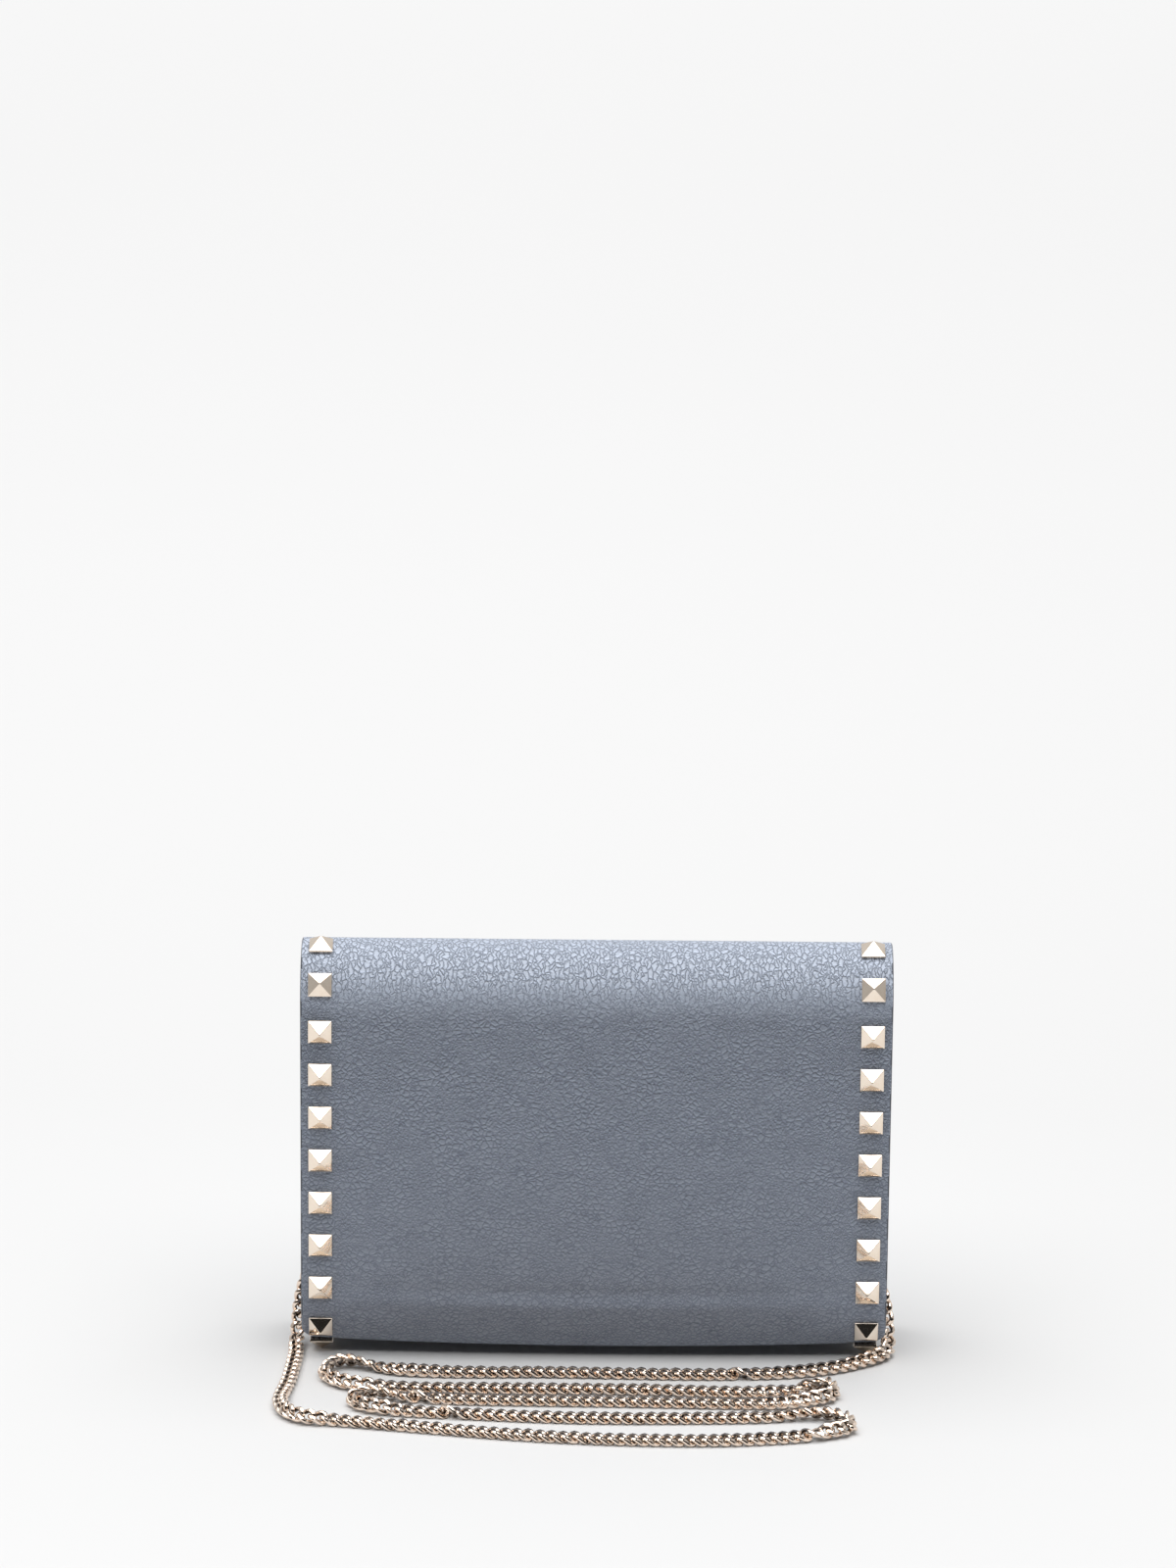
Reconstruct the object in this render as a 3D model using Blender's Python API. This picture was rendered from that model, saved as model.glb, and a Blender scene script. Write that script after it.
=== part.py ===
"""Flap-top chain wallet in grained leather, with pyramid studs down both sides and a curb chain.

Metres, +Z up. The wallet stands on four studs at z = 0, its front faces -Y, and the origin is below its
middle. Every leather piece is a strip between two depths under an outline in the YZ plane.
"""

import math

import bmesh
import bpy
import numpy as np
from mathutils import Vector

MM = 0.001

# Overall size
FLAP_HALF_WIDTH = 100.0 * MM
BODY_DEPTH = 38.0 * MM
HINGE_Z = 126.0 * MM
TOP_RADIUS = BODY_DEPTH / 2
FLAP_CURL_START_Z = 24.0 * MM
FLAP_CURL_RADIUS = 34.0 * MM
FLAP_CURL_DEG = 32.0
FLAP_CORNER_RADIUS = 5.0 * MM
LINING_CURL_DEG = 26.0

# Materials' thickness and the clearances between pieces
LEATHER = 1.8 * MM
LINING = 0.8 * MM
POCKET_LEATHER = 1.0 * MM
GAP = 0.3 * MM
SEAM_GAP = 0.15 * MM

# Studs
STUD_SIDE = 8.0 * MM
STUD_RIM = 0.9 * MM
STUD_HEIGHT = 3.8 * MM
STUD_TIP_SIDE = 0.5 * MM
STUD_POST_SIDE = 2.4 * MM
STUD_POST_LENGTH = 1.8 * MM
STUD_MARGIN = 2.7 * MM
TOP_STUD_PITCH = 16.3 * MM
FACE_STUDS = 8
TOP_STUDS = 2
FIRST_FACE_STUD_BELOW_BEND = 7.3 * MM
LAST_STUD_ABOVE_EDGE = 6.23918226 * MM
FOOT_OVERHANG = 0.8 * MM
FOOT_REAR_INSET = 9.05 * MM

# Body
BASE_Z = 4.1 * MM
BASE_CORNER_RADIUS = 2.5 * MM
BASE_TURN_UP = 1.7 * MM
BODY_INSET = 3.0 * MM
FRONT_TOP_DROP = 7.0 * MM
FRONT_CORNER_RADIUS = 9.0 * MM
BODY_LINING_INSET = 8.5 * MM
GUSSET_TOP_DROP = 8.0 * MM
GUSSET_LEATHER = 1.0 * MM
GUSSET_FLANGE = 3.0 * MM
GUSSET_FOLD_AHEAD = 8.0 * MM
GUSSET_FOLD_BEHIND = 6.0 * MM

# Pockets: three stepped card pockets, and a zip pocket between the two compartments
CARD_POCKETS = 3
CARD_POCKET_INSET = 16.5 * MM
CARD_POCKET_BOTTOM_Z = 20.0 * MM
CARD_POCKET_LOWEST_DROP = 54.0 * MM
CARD_POCKET_STEP = 12.0 * MM
ZIP_AHEAD_OF_RING = 3.4 * MM
ZIP_POCKET_DEPTH = 6.8 * MM
ZIP_POCKET_INSET = 19.0 * MM
ZIP_POCKET_TOP_DROP = 26.0 * MM
ZIP_END_INSET = 7.0 * MM
ZIP_TEETH_WIDTH = 1.55 * MM
ZIP_TEETH_HEIGHT = 1.6 * MM
ZIP_TAPE = 0.6 * MM
SLIDER_FROM_ZIP_END = 14.0 * MM
SLIDER_LENGTH = 8.0 * MM
SLIDER_PLATE = 0.8 * MM
SLIDER_FLANGE = 0.7 * MM
PULL_LENGTH = 14.0 * MM
PULL_WIDTH = 4.4 * MM
PULL_THICKNESS = 1.0 * MM
PULL_NECK = 0.9 * MM
EAR_THICKNESS = 0.8 * MM
EAR_HEIGHT = 2.0 * MM

# Magnetic snap
SNAP_ABOVE_CURL = 22.0 * MM
SNAP_MAGNET_RADIUS = 7.0 * MM
SNAP_MAGNET_DEPTH = 3.0 * MM
SNAP_DISC_RADIUS = 6.0 * MM
SNAP_DISC_DEPTH = 1.45 * MM
SNAP_NUB_RADIUS = 2.2 * MM
SNAP_NUB_CLEARANCE = 0.7 * MM
SNAP_FLOOR = 0.8 * MM

# Chain hardware, hung in the fold of each gusset
RING_INSET = 11.6 * MM
RING_BEHIND_MIDDLE = 0.825 * MM
RING_DROP_FROM_HINGE = 20.0 * MM
RING_WIRE_RADIUS = 0.9 * MM
RING_HALF_WIDTH = 4.1 * MM
RING_STRAIGHT = 2.5 * MM
TAB_LEATHER = 1.6 * MM
TAB_HALF_WIDTH = 2.5 * MM
TAB_LENGTH = 10.0 * MM
CLASP_HALF_WIDTH = 2.9 * MM
CLASP_BAR = 1.6 * MM
CLASP_THICKNESS = 2.4 * MM
CLASP_BODY_LENGTH = 10.2 * MM
CLASP_EYE_RADIUS = 2.3 * MM
CLASP_EYE_HOLE_RADIUS = 1.1 * MM
CLASP_EYE_DROP = 12.1 * MM
GATE_TOP_DROP = 1.2 * MM
GATE_LENGTH = 3.0 * MM
GATE_THICKNESS = 1.6 * MM
JUMP_RING_RADIUS = 2.6 * MM
JUMP_RING_WIRE_RADIUS = 0.55 * MM

# Curb chain, as a tube of its width: it stands for 5.2 mm links
CHAIN_RADIUS = 2.6 * MM
CHAIN_STEP = 12.5 * MM
CHAIN_END_GAP = 0.3 * MM
CHAIN_LEAD = 2.0 * MM
ROUTE_SUBDIVISION = 20

# The chain's route, in mm, chosen by hand: right ring, floor run in five rows, left ring.
# It is drawn for a wallet of these sizes, and moves outwards, forwards and up with the real ones.
ROUTE_HALF_WIDTH = 100.0 * MM
ROUTE_FULL_SPREAD_X = 60.0 * MM
ROUTE_FRONT_Y = -16.95 * MM
ROUTE_LANDING_Y = -9.6 * MM
ROUTE_RING_Y = 7.0 * MM
ROUTE_TOP_Z = 80.9 * MM
ROUTE_LOW_Z = 12.0 * MM
RIGHT_RISER = [
    (89.0, 7.0, 68.0), (90.2, 6.0, 54.0), (92.4, 4.0, 41.0), (95.8, 1.0, 29.0),
    (99.2, -2.0, 18.5), (101.0, -5.2, 9.4), (101.0, -9.6, 4.3), (98.6, -14.2, 2.8),
]
FLOOR_RUN = [
    (92.0, -19.3, 2.7), (80.0, -25.9, 2.7), (62.0, -30.2, 2.7), (32.0, -31.6, 2.7), (-15.0, -30.7, 2.7),
    (-44.0, -31.6, 2.7), (-64.3, -30.7, 2.7), (-76.5, -26.6, 2.7), (-86.0, -25.5, 2.7), (-91.4, -34.2, 2.7),
    (-86.0, -43.1, 2.7), (-73.0, -46.0, 2.7), (-30.0, -46.0, 2.7), (16.3, -46.0, 2.7), (50.0, -47.7, 2.7),
    (64.5, -48.3, 2.7), (72.8, -44.9, 2.7), (79.6, -43.3, 2.7), (81.6, -49.4, 2.7), (76.6, -54.7, 2.7),
    (60.0, -57.9, 2.7), (10.0, -56.9, 2.7), (-42.7, -56.3, 2.7), (-67.3, -54.4, 2.7), (-76.0, -54.1, 2.7),
    (-81.0, -59.5, 2.7), (-74.0, -66.0, 2.7), (-48.5, -68.8, 2.7), (-1.7, -72.2, 2.7), (50.0, -70.7, 2.7),
    (74.0, -68.2, 2.7), (85.6, -74.7, 2.7), (81.0, -84.1, 2.7), (40.0, -91.4, 2.7), (-15.0, -89.0, 2.7),
    (-79.0, -77.7, 2.7), (-98.5, -75.0, 2.7), (-105.3, -62.7, 2.7), (-103.2, -39.0, 2.7), (-101.8, -17.5, 2.7),
]
LEFT_RISER = [
    (-101.9, -7.5, 4.0), (-101.3, -1.6, 11.0), (-99.4, 0.0, 20.5), (-95.8, 1.6, 30.0),
    (-92.4, 4.0, 41.0), (-90.2, 6.0, 54.0), (-89.0, 7.0, 68.0),
]

# Worked out from the sizes above
BACK_Y = (BODY_DEPTH + STUD_HEIGHT + GAP) / 2
FLAP_FRONT_Y = BACK_Y - BODY_DEPTH
FACE_LENGTH = HINGE_Z - FLAP_CURL_START_Z + FLAP_CURL_RADIUS * math.radians(FLAP_CURL_DEG)
STUD_PITCH = (FACE_LENGTH - FIRST_FACE_STUD_BELOW_BEND - LAST_STUD_ABOVE_EDGE) / (FACE_STUDS - 1)
STUD_INSET = STUD_SIDE / 2 + STUD_MARGIN
FLAP_LINING_DEPTH = LEATHER + GAP
FLAP_INNER_Y = FLAP_FRONT_Y + FLAP_LINING_DEPTH + LINING
FRONT_Y = FLAP_INNER_Y + GAP + SNAP_DISC_DEPTH + GAP + SNAP_MAGNET_DEPTH + GAP
BASE_HALF_WIDTH = FRONT_HALF_WIDTH = FLAP_HALF_WIDTH - BODY_INSET
WIDEST_BODY_LINING = FLAP_HALF_WIDTH - BODY_LINING_INSET
CARD_POCKET_HALF_WIDTH = FLAP_HALF_WIDTH - CARD_POCKET_INSET
ZIP_POCKET_HALF_WIDTH = FLAP_HALF_WIDTH - ZIP_POCKET_INSET
ZIP_HALF_LENGTH = ZIP_POCKET_HALF_WIDTH - ZIP_END_INSET
SLIDER_X = ZIP_HALF_LENGTH - SLIDER_FROM_ZIP_END
FRONT_TOP_Z = HINGE_Z - FRONT_TOP_DROP
GUSSET_TOP_Z = HINGE_Z - GUSSET_TOP_DROP
CARD_POCKET_LOWEST_TOP_Z = HINGE_Z - CARD_POCKET_LOWEST_DROP
ZIP_POCKET_TOP_Z = HINGE_Z - ZIP_POCKET_TOP_DROP
SNAP_Z = FLAP_CURL_START_Z + SNAP_ABOVE_CURL
RING_X = FLAP_HALF_WIDTH - RING_INSET
RING_Y = (BACK_Y + FRONT_Y) / 2 + RING_BEHIND_MIDDLE
RING_Z = HINGE_Z - RING_DROP_FROM_HINGE
ZIP_Y = RING_Y - ZIP_AHEAD_OF_RING
GUSSET_FOLD_FRONT_Y = RING_Y - GUSSET_FOLD_AHEAD
GUSSET_FOLD_REAR_Y = RING_Y + GUSSET_FOLD_BEHIND
FOOT_FRONT_Y = FRONT_Y + STUD_SIDE / 2 - FOOT_OVERHANG
FOOT_REAR_Y = BACK_Y - FOOT_REAR_INSET
SEAM_Z = BASE_Z + BASE_CORNER_RADIUS + BASE_TURN_UP + SEAM_GAP
RING_DROP = RING_STRAIGHT + RING_HALF_WIDTH
CLASP_TOP = RING_Z - RING_DROP + RING_WIRE_RADIUS + GAP + CLASP_BAR
CLASP_ARC_Z = CLASP_TOP - CLASP_HALF_WIDTH
EYE_Z = CLASP_ARC_Z - CLASP_EYE_DROP
GATE_TOP_Z = CLASP_ARC_Z - GATE_TOP_DROP
GATE_PIVOT_Z = GATE_TOP_Z - GATE_LENGTH + CLASP_BAR / 2
JUMP_RING_TOP_Z = EYE_Z - CLASP_EYE_HOLE_RADIUS + JUMP_RING_WIRE_RADIUS + GAP
JUMP_RING_Z = JUMP_RING_TOP_Z - JUMP_RING_RADIUS
CHAIN_TOP_Z = JUMP_RING_Z - JUMP_RING_RADIUS - JUMP_RING_WIRE_RADIUS - CHAIN_END_GAP
GUSSET_FOLD_X = RING_X - RING_WIRE_RADIUS - GAP - TAB_LEATHER - GAP - GUSSET_LEATHER / 2
TEETH_Z = ZIP_POCKET_TOP_Z + GAP
SLIDER_Z = TEETH_Z + ZIP_TEETH_HEIGHT + GAP
PULL_PIVOT_Z = SLIDER_Z + SLIDER_PLATE + EAR_HEIGHT / 2 + GAP / 2

FINISHES = {
    "leather": ((0.145, 0.172, 0.222), 0.52, 0.0),
    "lining": ((0.085, 0.098, 0.125), 0.70, 0.0),
    "metal": ((0.72, 0.64, 0.50), 0.22, 1.0),
    "tape": ((0.060, 0.070, 0.095), 0.80, 0.0),
}


def clear_scene():
    for old in list(bpy.data.objects):
        bpy.data.objects.remove(old, do_unlink=True)


def finish_for(name, kind):
    """A Principled material of the object's own."""
    colour, roughness, metallic = FINISHES[kind]
    material = bpy.data.materials.new(f"{name}_{kind}")
    material.use_nodes = True
    shader = material.node_tree.nodes["Principled BSDF"]
    shader.inputs["Base Color"].default_value = (*colour, 1.0)
    shader.inputs["Roughness"].default_value = roughness
    shader.inputs["Metallic"].default_value = metallic
    return material


def joint_axis(name, x, y, z):
    """An empty that marks a joint's axis and carries the pieces that turn or slide with it."""
    empty = bpy.data.objects.new(name, None)
    empty.location = (x, y, z)
    empty.empty_display_size = 5 * MM
    bpy.context.scene.collection.objects.link(empty)
    return empty


def world_place(holder):
    place = Vector((0, 0, 0))
    while holder is not None:
        place += holder.location
        holder = holder.parent
    return place


def add_mesh(name, vertices, faces, kind, holder=None, smooth_deg=None):
    """A named object from world-space vertices, carried by its joint's empty if it has one."""
    place = world_place(holder)
    mesh = bpy.data.meshes.new(name)
    mesh.from_pydata([Vector(v) - place for v in vertices], [], faces)
    work = bmesh.new()
    work.from_mesh(mesh)
    bmesh.ops.recalc_face_normals(work, faces=work.faces)
    work.to_mesh(mesh)
    work.free()
    if smooth_deg is not None:
        mesh.shade_smooth()
        mesh.set_sharp_from_angle(angle=math.radians(smooth_deg))
    mesh.materials.append(finish_for(name, kind))
    made = bpy.data.objects.new(name, mesh)
    made.parent = holder
    bpy.context.scene.collection.objects.link(made)
    return made


def quad_rings(rings):
    """Faces that join rings of equal length, with a flat cap at each end."""
    count = len(rings[0])
    vertices = [point for ring in rings for point in ring]
    faces = [tuple(range(count)), tuple(reversed(range(len(vertices) - count, len(vertices))))]
    for level in range(len(rings) - 1):
        low = level * count
        for i in range(count):
            j = (i + 1) % count
            faces.append((low + i, low + j, low + count + j, low + count + i))
    return vertices, faces


def arc(centre, radius, start_deg, end_deg, steps):
    """Stations (y, z, normal y, normal z) round an arc. The normal points away from its centre."""
    found = []
    for i in range(steps + 1):
        turn = math.radians(start_deg + (end_deg - start_deg) * i / steps)
        ny, nz = math.cos(turn), math.sin(turn)
        found.append((centre[0] + radius * ny, centre[1] + radius * nz, ny, nz))
    return found


def add_strip(name, stations, near, far, half_widths, kind, holder=None, smooth_deg=40):
    """A leather strip between two depths under a line of stations, spanning -X to +X."""
    rings = []
    for (y, z, ny, nz), half in zip(stations, half_widths):
        outer, inner = (y - ny * near, z - nz * near), (y - ny * far, z - nz * far)
        rings.append([(-half, *outer), (half, *outer), (half, *inner), (-half, *inner)])
    return add_mesh(name, *quad_rings(rings), kind, holder, smooth_deg)


def rounded_end(length, half_width, radius, at_start=False, at_end=True):
    """Half-widths along a strip that round its corners. length holds each station's distance."""
    total = length[-1]
    found = []
    for s in length:
        near = min([s if at_start else radius, total - s if at_end else radius, radius])
        found.append(half_width - radius + math.sqrt(radius**2 - (radius - near) ** 2))
    return found


def lengths_along(stations):
    found = [0.0]
    for a, b in zip(stations, stations[1:]):
        found.append(found[-1] + math.hypot(b[0] - a[0], b[1] - a[1]))
    return found


def split_before_end(stations, radius, steps=5):
    """Adds stations over the last stretch of a straight strip, so that its corners can be round."""
    (y0, z0, ny, nz), (y1, z1, _, _) = stations[-2:]
    total = math.hypot(y1 - y0, z1 - z0)
    added = []
    for i in range(steps + 1):
        back = radius * (1 - math.sin(math.pi / 2 * i / steps))
        share = 1 - back / total
        added.append((y0 + (y1 - y0) * share, z0 + (z1 - z0) * share, ny, nz))
    return stations[:-1] + added


def flap_stations(curl_deg=FLAP_CURL_DEG):
    """Outer line of the flap: over the top from the back, down the front, and in under at the end."""
    over = arc((BACK_Y - TOP_RADIUS, HINGE_Z), TOP_RADIUS, 0, 180, 24)
    over[0] = (BACK_Y, HINGE_Z + SEAM_GAP, 1.0, 0.0)
    curl_centre = (FLAP_FRONT_Y + FLAP_CURL_RADIUS, FLAP_CURL_START_Z)
    return over + arc(curl_centre, FLAP_CURL_RADIUS, 180, 180 + curl_deg, 12)


def point_on_flap(distance):
    """The outer point and normal this far along the flap from its hinge."""
    bend = math.pi * TOP_RADIUS
    face = HINGE_Z - FLAP_CURL_START_Z
    if distance < bend:
        return arc((BACK_Y - TOP_RADIUS, HINGE_Z), TOP_RADIUS, 0, math.degrees(distance / TOP_RADIUS), 1)[1]
    if distance < bend + face:
        return (FLAP_FRONT_Y, HINGE_Z - (distance - bend), -1.0, 0.0)
    turn = math.degrees((distance - bend - face) / FLAP_CURL_RADIUS)
    return arc((FLAP_FRONT_Y + FLAP_CURL_RADIUS, FLAP_CURL_START_Z), FLAP_CURL_RADIUS, 180, 180 + turn, 1)[1]


def square_rings(x, station, levels):
    """Square rings round a stud's axis. levels holds (half side, height above the leather)."""
    y, z, ny, nz = station
    rings = []
    for half, height in levels:
        ring = []
        for sx, st in ((-1, -1), (1, -1), (1, 1), (-1, 1)):
            ring.append((x + sx * half, y + ny * height + nz * st * half, z + nz * height - ny * st * half))
        rings.append(ring)
    return rings


def add_stud(name, x, station, holder):
    """A pyramid stud with a square rim and a post that goes into the leather."""
    post, side = STUD_POST_SIDE / 2, STUD_SIDE / 2
    levels = [(post, GAP - STUD_POST_LENGTH), (post, GAP), (side, GAP), (side, GAP + STUD_RIM)]
    levels.append((STUD_TIP_SIDE / 2, GAP + STUD_HEIGHT))
    return add_mesh(name, *quad_rings(square_rings(x, station, levels)), "metal", holder)


def add_post_holes(target, places):
    """Cuts a square hole for each stud's post, with one hidden cutter."""
    half = STUD_POST_SIDE / 2 + GAP
    vertices, faces = [], []
    for x, station in places:
        ring_vertices, ring_faces = quad_rings(square_rings(x, station, [(half, -2 * LEATHER), (half, LEATHER)]))
        faces += [tuple(i + len(vertices) for i in face) for face in ring_faces]
        vertices += ring_vertices
    cutter = add_mesh(f"{target.name}_post_cutter", vertices, faces, "metal", target.parent)
    cutter.hide_render = True
    cutter.display_type = "WIRE"
    cut = target.modifiers.new("post_holes", "BOOLEAN")
    cut.operation = "DIFFERENCE"
    cut.solver = "EXACT"
    cut.object = cutter


def add_flap(hinge):
    """The flap's leather, its lining and the studs down both of its sides."""
    outer = flap_stations()
    widths = rounded_end(lengths_along(outer), FLAP_HALF_WIDTH, FLAP_CORNER_RADIUS)
    panel = add_strip("flap_panel", outer, 0.0, LEATHER, widths, "leather", hinge)
    inner = flap_stations(LINING_CURL_DEG)
    inset = FLAP_HALF_WIDTH - 1.5 * MM
    widths = rounded_end(lengths_along(inner), inset, FLAP_CORNER_RADIUS)
    add_strip("flap_lining", inner, FLAP_LINING_DEPTH, FLAP_LINING_DEPTH + LINING, widths, "lining", hinge)
    first = math.pi * TOP_RADIUS + FIRST_FACE_STUD_BELOW_BEND
    distances = [first - TOP_STUD_PITCH * (TOP_STUDS - i) for i in range(TOP_STUDS)]
    distances += [first + STUD_PITCH * i for i in range(FACE_STUDS)]
    places = []
    for side, sign in (("left", -1), ("right", 1)):
        for i, distance in enumerate(distances):
            x, station = sign * (FLAP_HALF_WIDTH - STUD_INSET), point_on_flap(distance)
            places.append((x, station))
            add_stud(f"flap_stud_{side}_{i + 1:02d}", x, station, hinge)
    add_post_holes(panel, places)


def turned_rings(x, z, profile, sides=24):
    """Rings round an axis along Y. profile holds (radius, y) and its ends have a radius of their own."""
    rings = []
    for radius, y in profile:
        turns = [2 * math.pi * i / sides for i in range(sides)]
        rings.append([(x + radius * math.cos(t), y, z + radius * math.sin(t)) for t in turns])
    return rings


def add_snap(hinge, front):
    """Magnetic snap: a magnet cup on the front panel, and a disc with a nub on the flap's lining."""
    cup_back = FRONT_Y - GAP
    cup_face = cup_back - SNAP_MAGNET_DEPTH
    hole = SNAP_NUB_RADIUS + SNAP_NUB_CLEARANCE
    cup = [(SNAP_MAGNET_RADIUS, cup_back), (SNAP_MAGNET_RADIUS, cup_face), (hole, cup_face)]
    cup.append((hole, cup_back - SNAP_FLOOR))
    add_mesh("snap_magnet_cup", *quad_rings(turned_rings(0, SNAP_Z, cup)), "metal", front, 40)
    disc_back, disc_face = FLAP_INNER_Y + GAP, cup_face - GAP
    disc = [(SNAP_DISC_RADIUS, disc_back), (SNAP_DISC_RADIUS, disc_face), (SNAP_NUB_RADIUS, disc_face)]
    disc.append((SNAP_NUB_RADIUS, cup_back - SNAP_FLOOR - GAP))
    add_mesh("snap_disc", *quad_rings(turned_rings(0, SNAP_Z, disc)), "metal", hinge, 40)


def upright(y, low, high, facing=1.0):
    """Two stations of a flat panel that rises from low to high, with its outer face at y."""
    return [(y, low, facing, 0.0), (y, high, facing, 0.0)]


def lining_half_width(run):
    """Half the width of a body lining that ends clear of the gusset's leg, which slants inwards over this run."""
    flange_x = WIDEST_BODY_LINING + GAP + 2 * GUSSET_LEATHER
    across = flange_x - GUSSET_FOLD_X
    sunk = GAP + (GUSSET_LEATHER / 2 + GAP) * math.hypot(across, run) / across
    return min(WIDEST_BODY_LINING, flange_x - across * sunk / run)


def add_base():
    """The base panel, turned up at its front and back seams, with the four studs it stands on."""
    radius, top = BASE_CORNER_RADIUS, SEAM_Z - SEAM_GAP
    stations = [(BACK_Y, top, 1.0, 0.0)]
    stations += arc((BACK_Y - radius, BASE_Z + radius), radius, 0, -90, 4)
    stations += arc((FRONT_Y + radius, BASE_Z + radius), radius, -90, -180, 4)
    stations.append((FRONT_Y, top, -1.0, 0.0))
    base = add_strip("base_panel", stations, 0.0, LEATHER, [BASE_HALF_WIDTH] * len(stations), "leather")
    places = []
    for side, sign in (("left", -1), ("right", 1)):
        for end, y in (("front", FOOT_FRONT_Y), ("rear", FOOT_REAR_Y)):
            x, station = sign * (FLAP_HALF_WIDTH - STUD_INSET), (y, BASE_Z, 0.0, -1.0)
            places.append((x, station))
            add_stud(f"foot_stud_{end}_{side}", x, station, None)
    add_post_holes(base, places)


def add_back():
    """The back panel, its lining and the stepped card pockets in front of it."""
    panel = upright(BACK_Y, SEAM_Z + SEAM_GAP, HINGE_Z - SEAM_GAP)
    add_strip("back_panel", panel, 0.0, LEATHER, [FLAP_HALF_WIDTH] * 2, "leather")
    depth = LEATHER + GAP
    lining = upright(BACK_Y, SEAM_Z + SEAM_GAP, HINGE_Z - 2 * MM)
    half_width = lining_half_width(BACK_Y - depth - GUSSET_LEATHER / 2 - GUSSET_FOLD_REAR_Y)
    add_strip("back_lining", lining, depth, depth + LINING, [half_width] * 2, "lining")
    depth += LINING + GAP
    for i in range(CARD_POCKETS):
        top = CARD_POCKET_LOWEST_TOP_Z + CARD_POCKET_STEP * (CARD_POCKETS - 1 - i)
        pocket = upright(BACK_Y, CARD_POCKET_BOTTOM_Z, top)
        widths = [CARD_POCKET_HALF_WIDTH] * 2
        add_strip(f"card_pocket_{i + 1}", pocket, depth, depth + POCKET_LEATHER, widths, "leather")
        depth += POCKET_LEATHER + GAP


def add_front(front):
    """The front panel with round top corners, and its lining."""
    low, high = SEAM_Z + SEAM_GAP, FRONT_TOP_Z
    panel = split_before_end(upright(FRONT_Y, low, high, -1.0), FRONT_CORNER_RADIUS)
    widths = rounded_end(lengths_along(panel), FRONT_HALF_WIDTH, FRONT_CORNER_RADIUS)
    add_strip("front_panel", panel, 0.0, LEATHER, widths, "leather", front)
    lining = split_before_end(upright(FRONT_Y, low, high - 2 * MM, -1.0), FRONT_CORNER_RADIUS)
    depth = LEATHER + GAP
    half_width = lining_half_width(GUSSET_FOLD_FRONT_Y - FRONT_Y - depth - GUSSET_LEATHER / 2)
    widths = rounded_end(lengths_along(lining), half_width, FRONT_CORNER_RADIUS)
    add_strip("front_lining", lining, depth, depth + LINING, widths, "lining", front)


def offset_line(points, distance):
    """A line in the XY plane moved sideways, with mitred corners."""
    found = []
    for i, (x, y) in enumerate(points):
        before, after = points[max(i - 1, 0)], points[min(i + 1, len(points) - 1)]
        first = Vector((x - before[0], y - before[1])).normalized() if i else None
        second = Vector((after[0] - x, after[1] - y)).normalized() if i < len(points) - 1 else None
        first, second = first or second, second or first
        normal = Vector((-(first + second).y, (first + second).x)).normalized()
        reach = distance / max(normal.dot(Vector((-first.y, first.x))), 0.3)
        found.append((x + normal.x * reach, y + normal.y * reach))
    return found


def add_gussets():
    """The side gussets, folded inwards, with a flange sewn to the back and the front panel."""
    rear = BACK_Y - LEATHER - GAP - GUSSET_LEATHER / 2
    fore = FRONT_Y + LEATHER + GAP + GUSSET_LEATHER / 2
    inner_x = WIDEST_BODY_LINING + GAP + 2 * GUSSET_LEATHER
    line = [(inner_x + GUSSET_FLANGE, rear), (inner_x, rear), (GUSSET_FOLD_X, GUSSET_FOLD_REAR_Y)]
    line += [(GUSSET_FOLD_X, GUSSET_FOLD_FRONT_Y), (inner_x, fore), (inner_x + GUSSET_FLANGE, fore)]
    inside = offset_line(line, GUSSET_LEATHER / 2)
    outside = offset_line(line, -GUSSET_LEATHER / 2)
    for side, sign in (("left", -1), ("right", 1)):
        rings = []
        for (xa, ya), (xb, yb) in zip(inside, outside):
            low, high = SEAM_Z + SEAM_GAP, GUSSET_TOP_Z
            rings.append([(sign * xa, ya, low), (sign * xa, ya, high), (sign * xb, yb, high), (sign * xb, yb, low)])
        add_mesh(f"gusset_{side}", *quad_rings(rings), "leather", None, 50)


def add_box(name, low, high, kind, holder=None):
    (x0, y0, z0), (x1, y1, z1) = low, high
    rings = [[(x0, y0, z), (x1, y0, z), (x1, y1, z), (x0, y1, z)] for z in (z0, z1)]
    return add_mesh(name, *quad_rings(rings), kind, holder)


def add_zip_pocket():
    """Two walls that rise from the base, with a zip between their top edges."""
    low = BASE_Z + LEATHER + GAP
    wall, half = POCKET_LEATHER, ZIP_POCKET_DEPTH / 2
    for end, sign in (("rear", 1), ("front", -1)):
        near, far = ZIP_Y + sign * half, ZIP_Y + sign * (half + wall)
        y0, y1 = sorted((near, far))
        size = ZIP_POCKET_HALF_WIDTH
        add_box(f"zip_pocket_wall_{end}", (-size, y0, low), (size, y1, ZIP_POCKET_TOP_Z), "lining")
        teeth_edge = ZIP_Y + sign * (GAP / 2 + ZIP_TEETH_WIDTH)
        y0, y1 = sorted((teeth_edge + sign * GAP, far))
        reach, top = ZIP_HALF_LENGTH, TEETH_Z + ZIP_TAPE
        add_box(f"zip_tape_{end}", (-reach, y0, TEETH_Z), (reach, y1, top), "tape")
        y0, y1 = sorted((ZIP_Y + sign * GAP / 2, teeth_edge))
        top = TEETH_Z + ZIP_TEETH_HEIGHT
        add_box(f"zip_teeth_{end}", (-reach, y0, TEETH_Z), (reach, y1, top), "metal")


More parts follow.
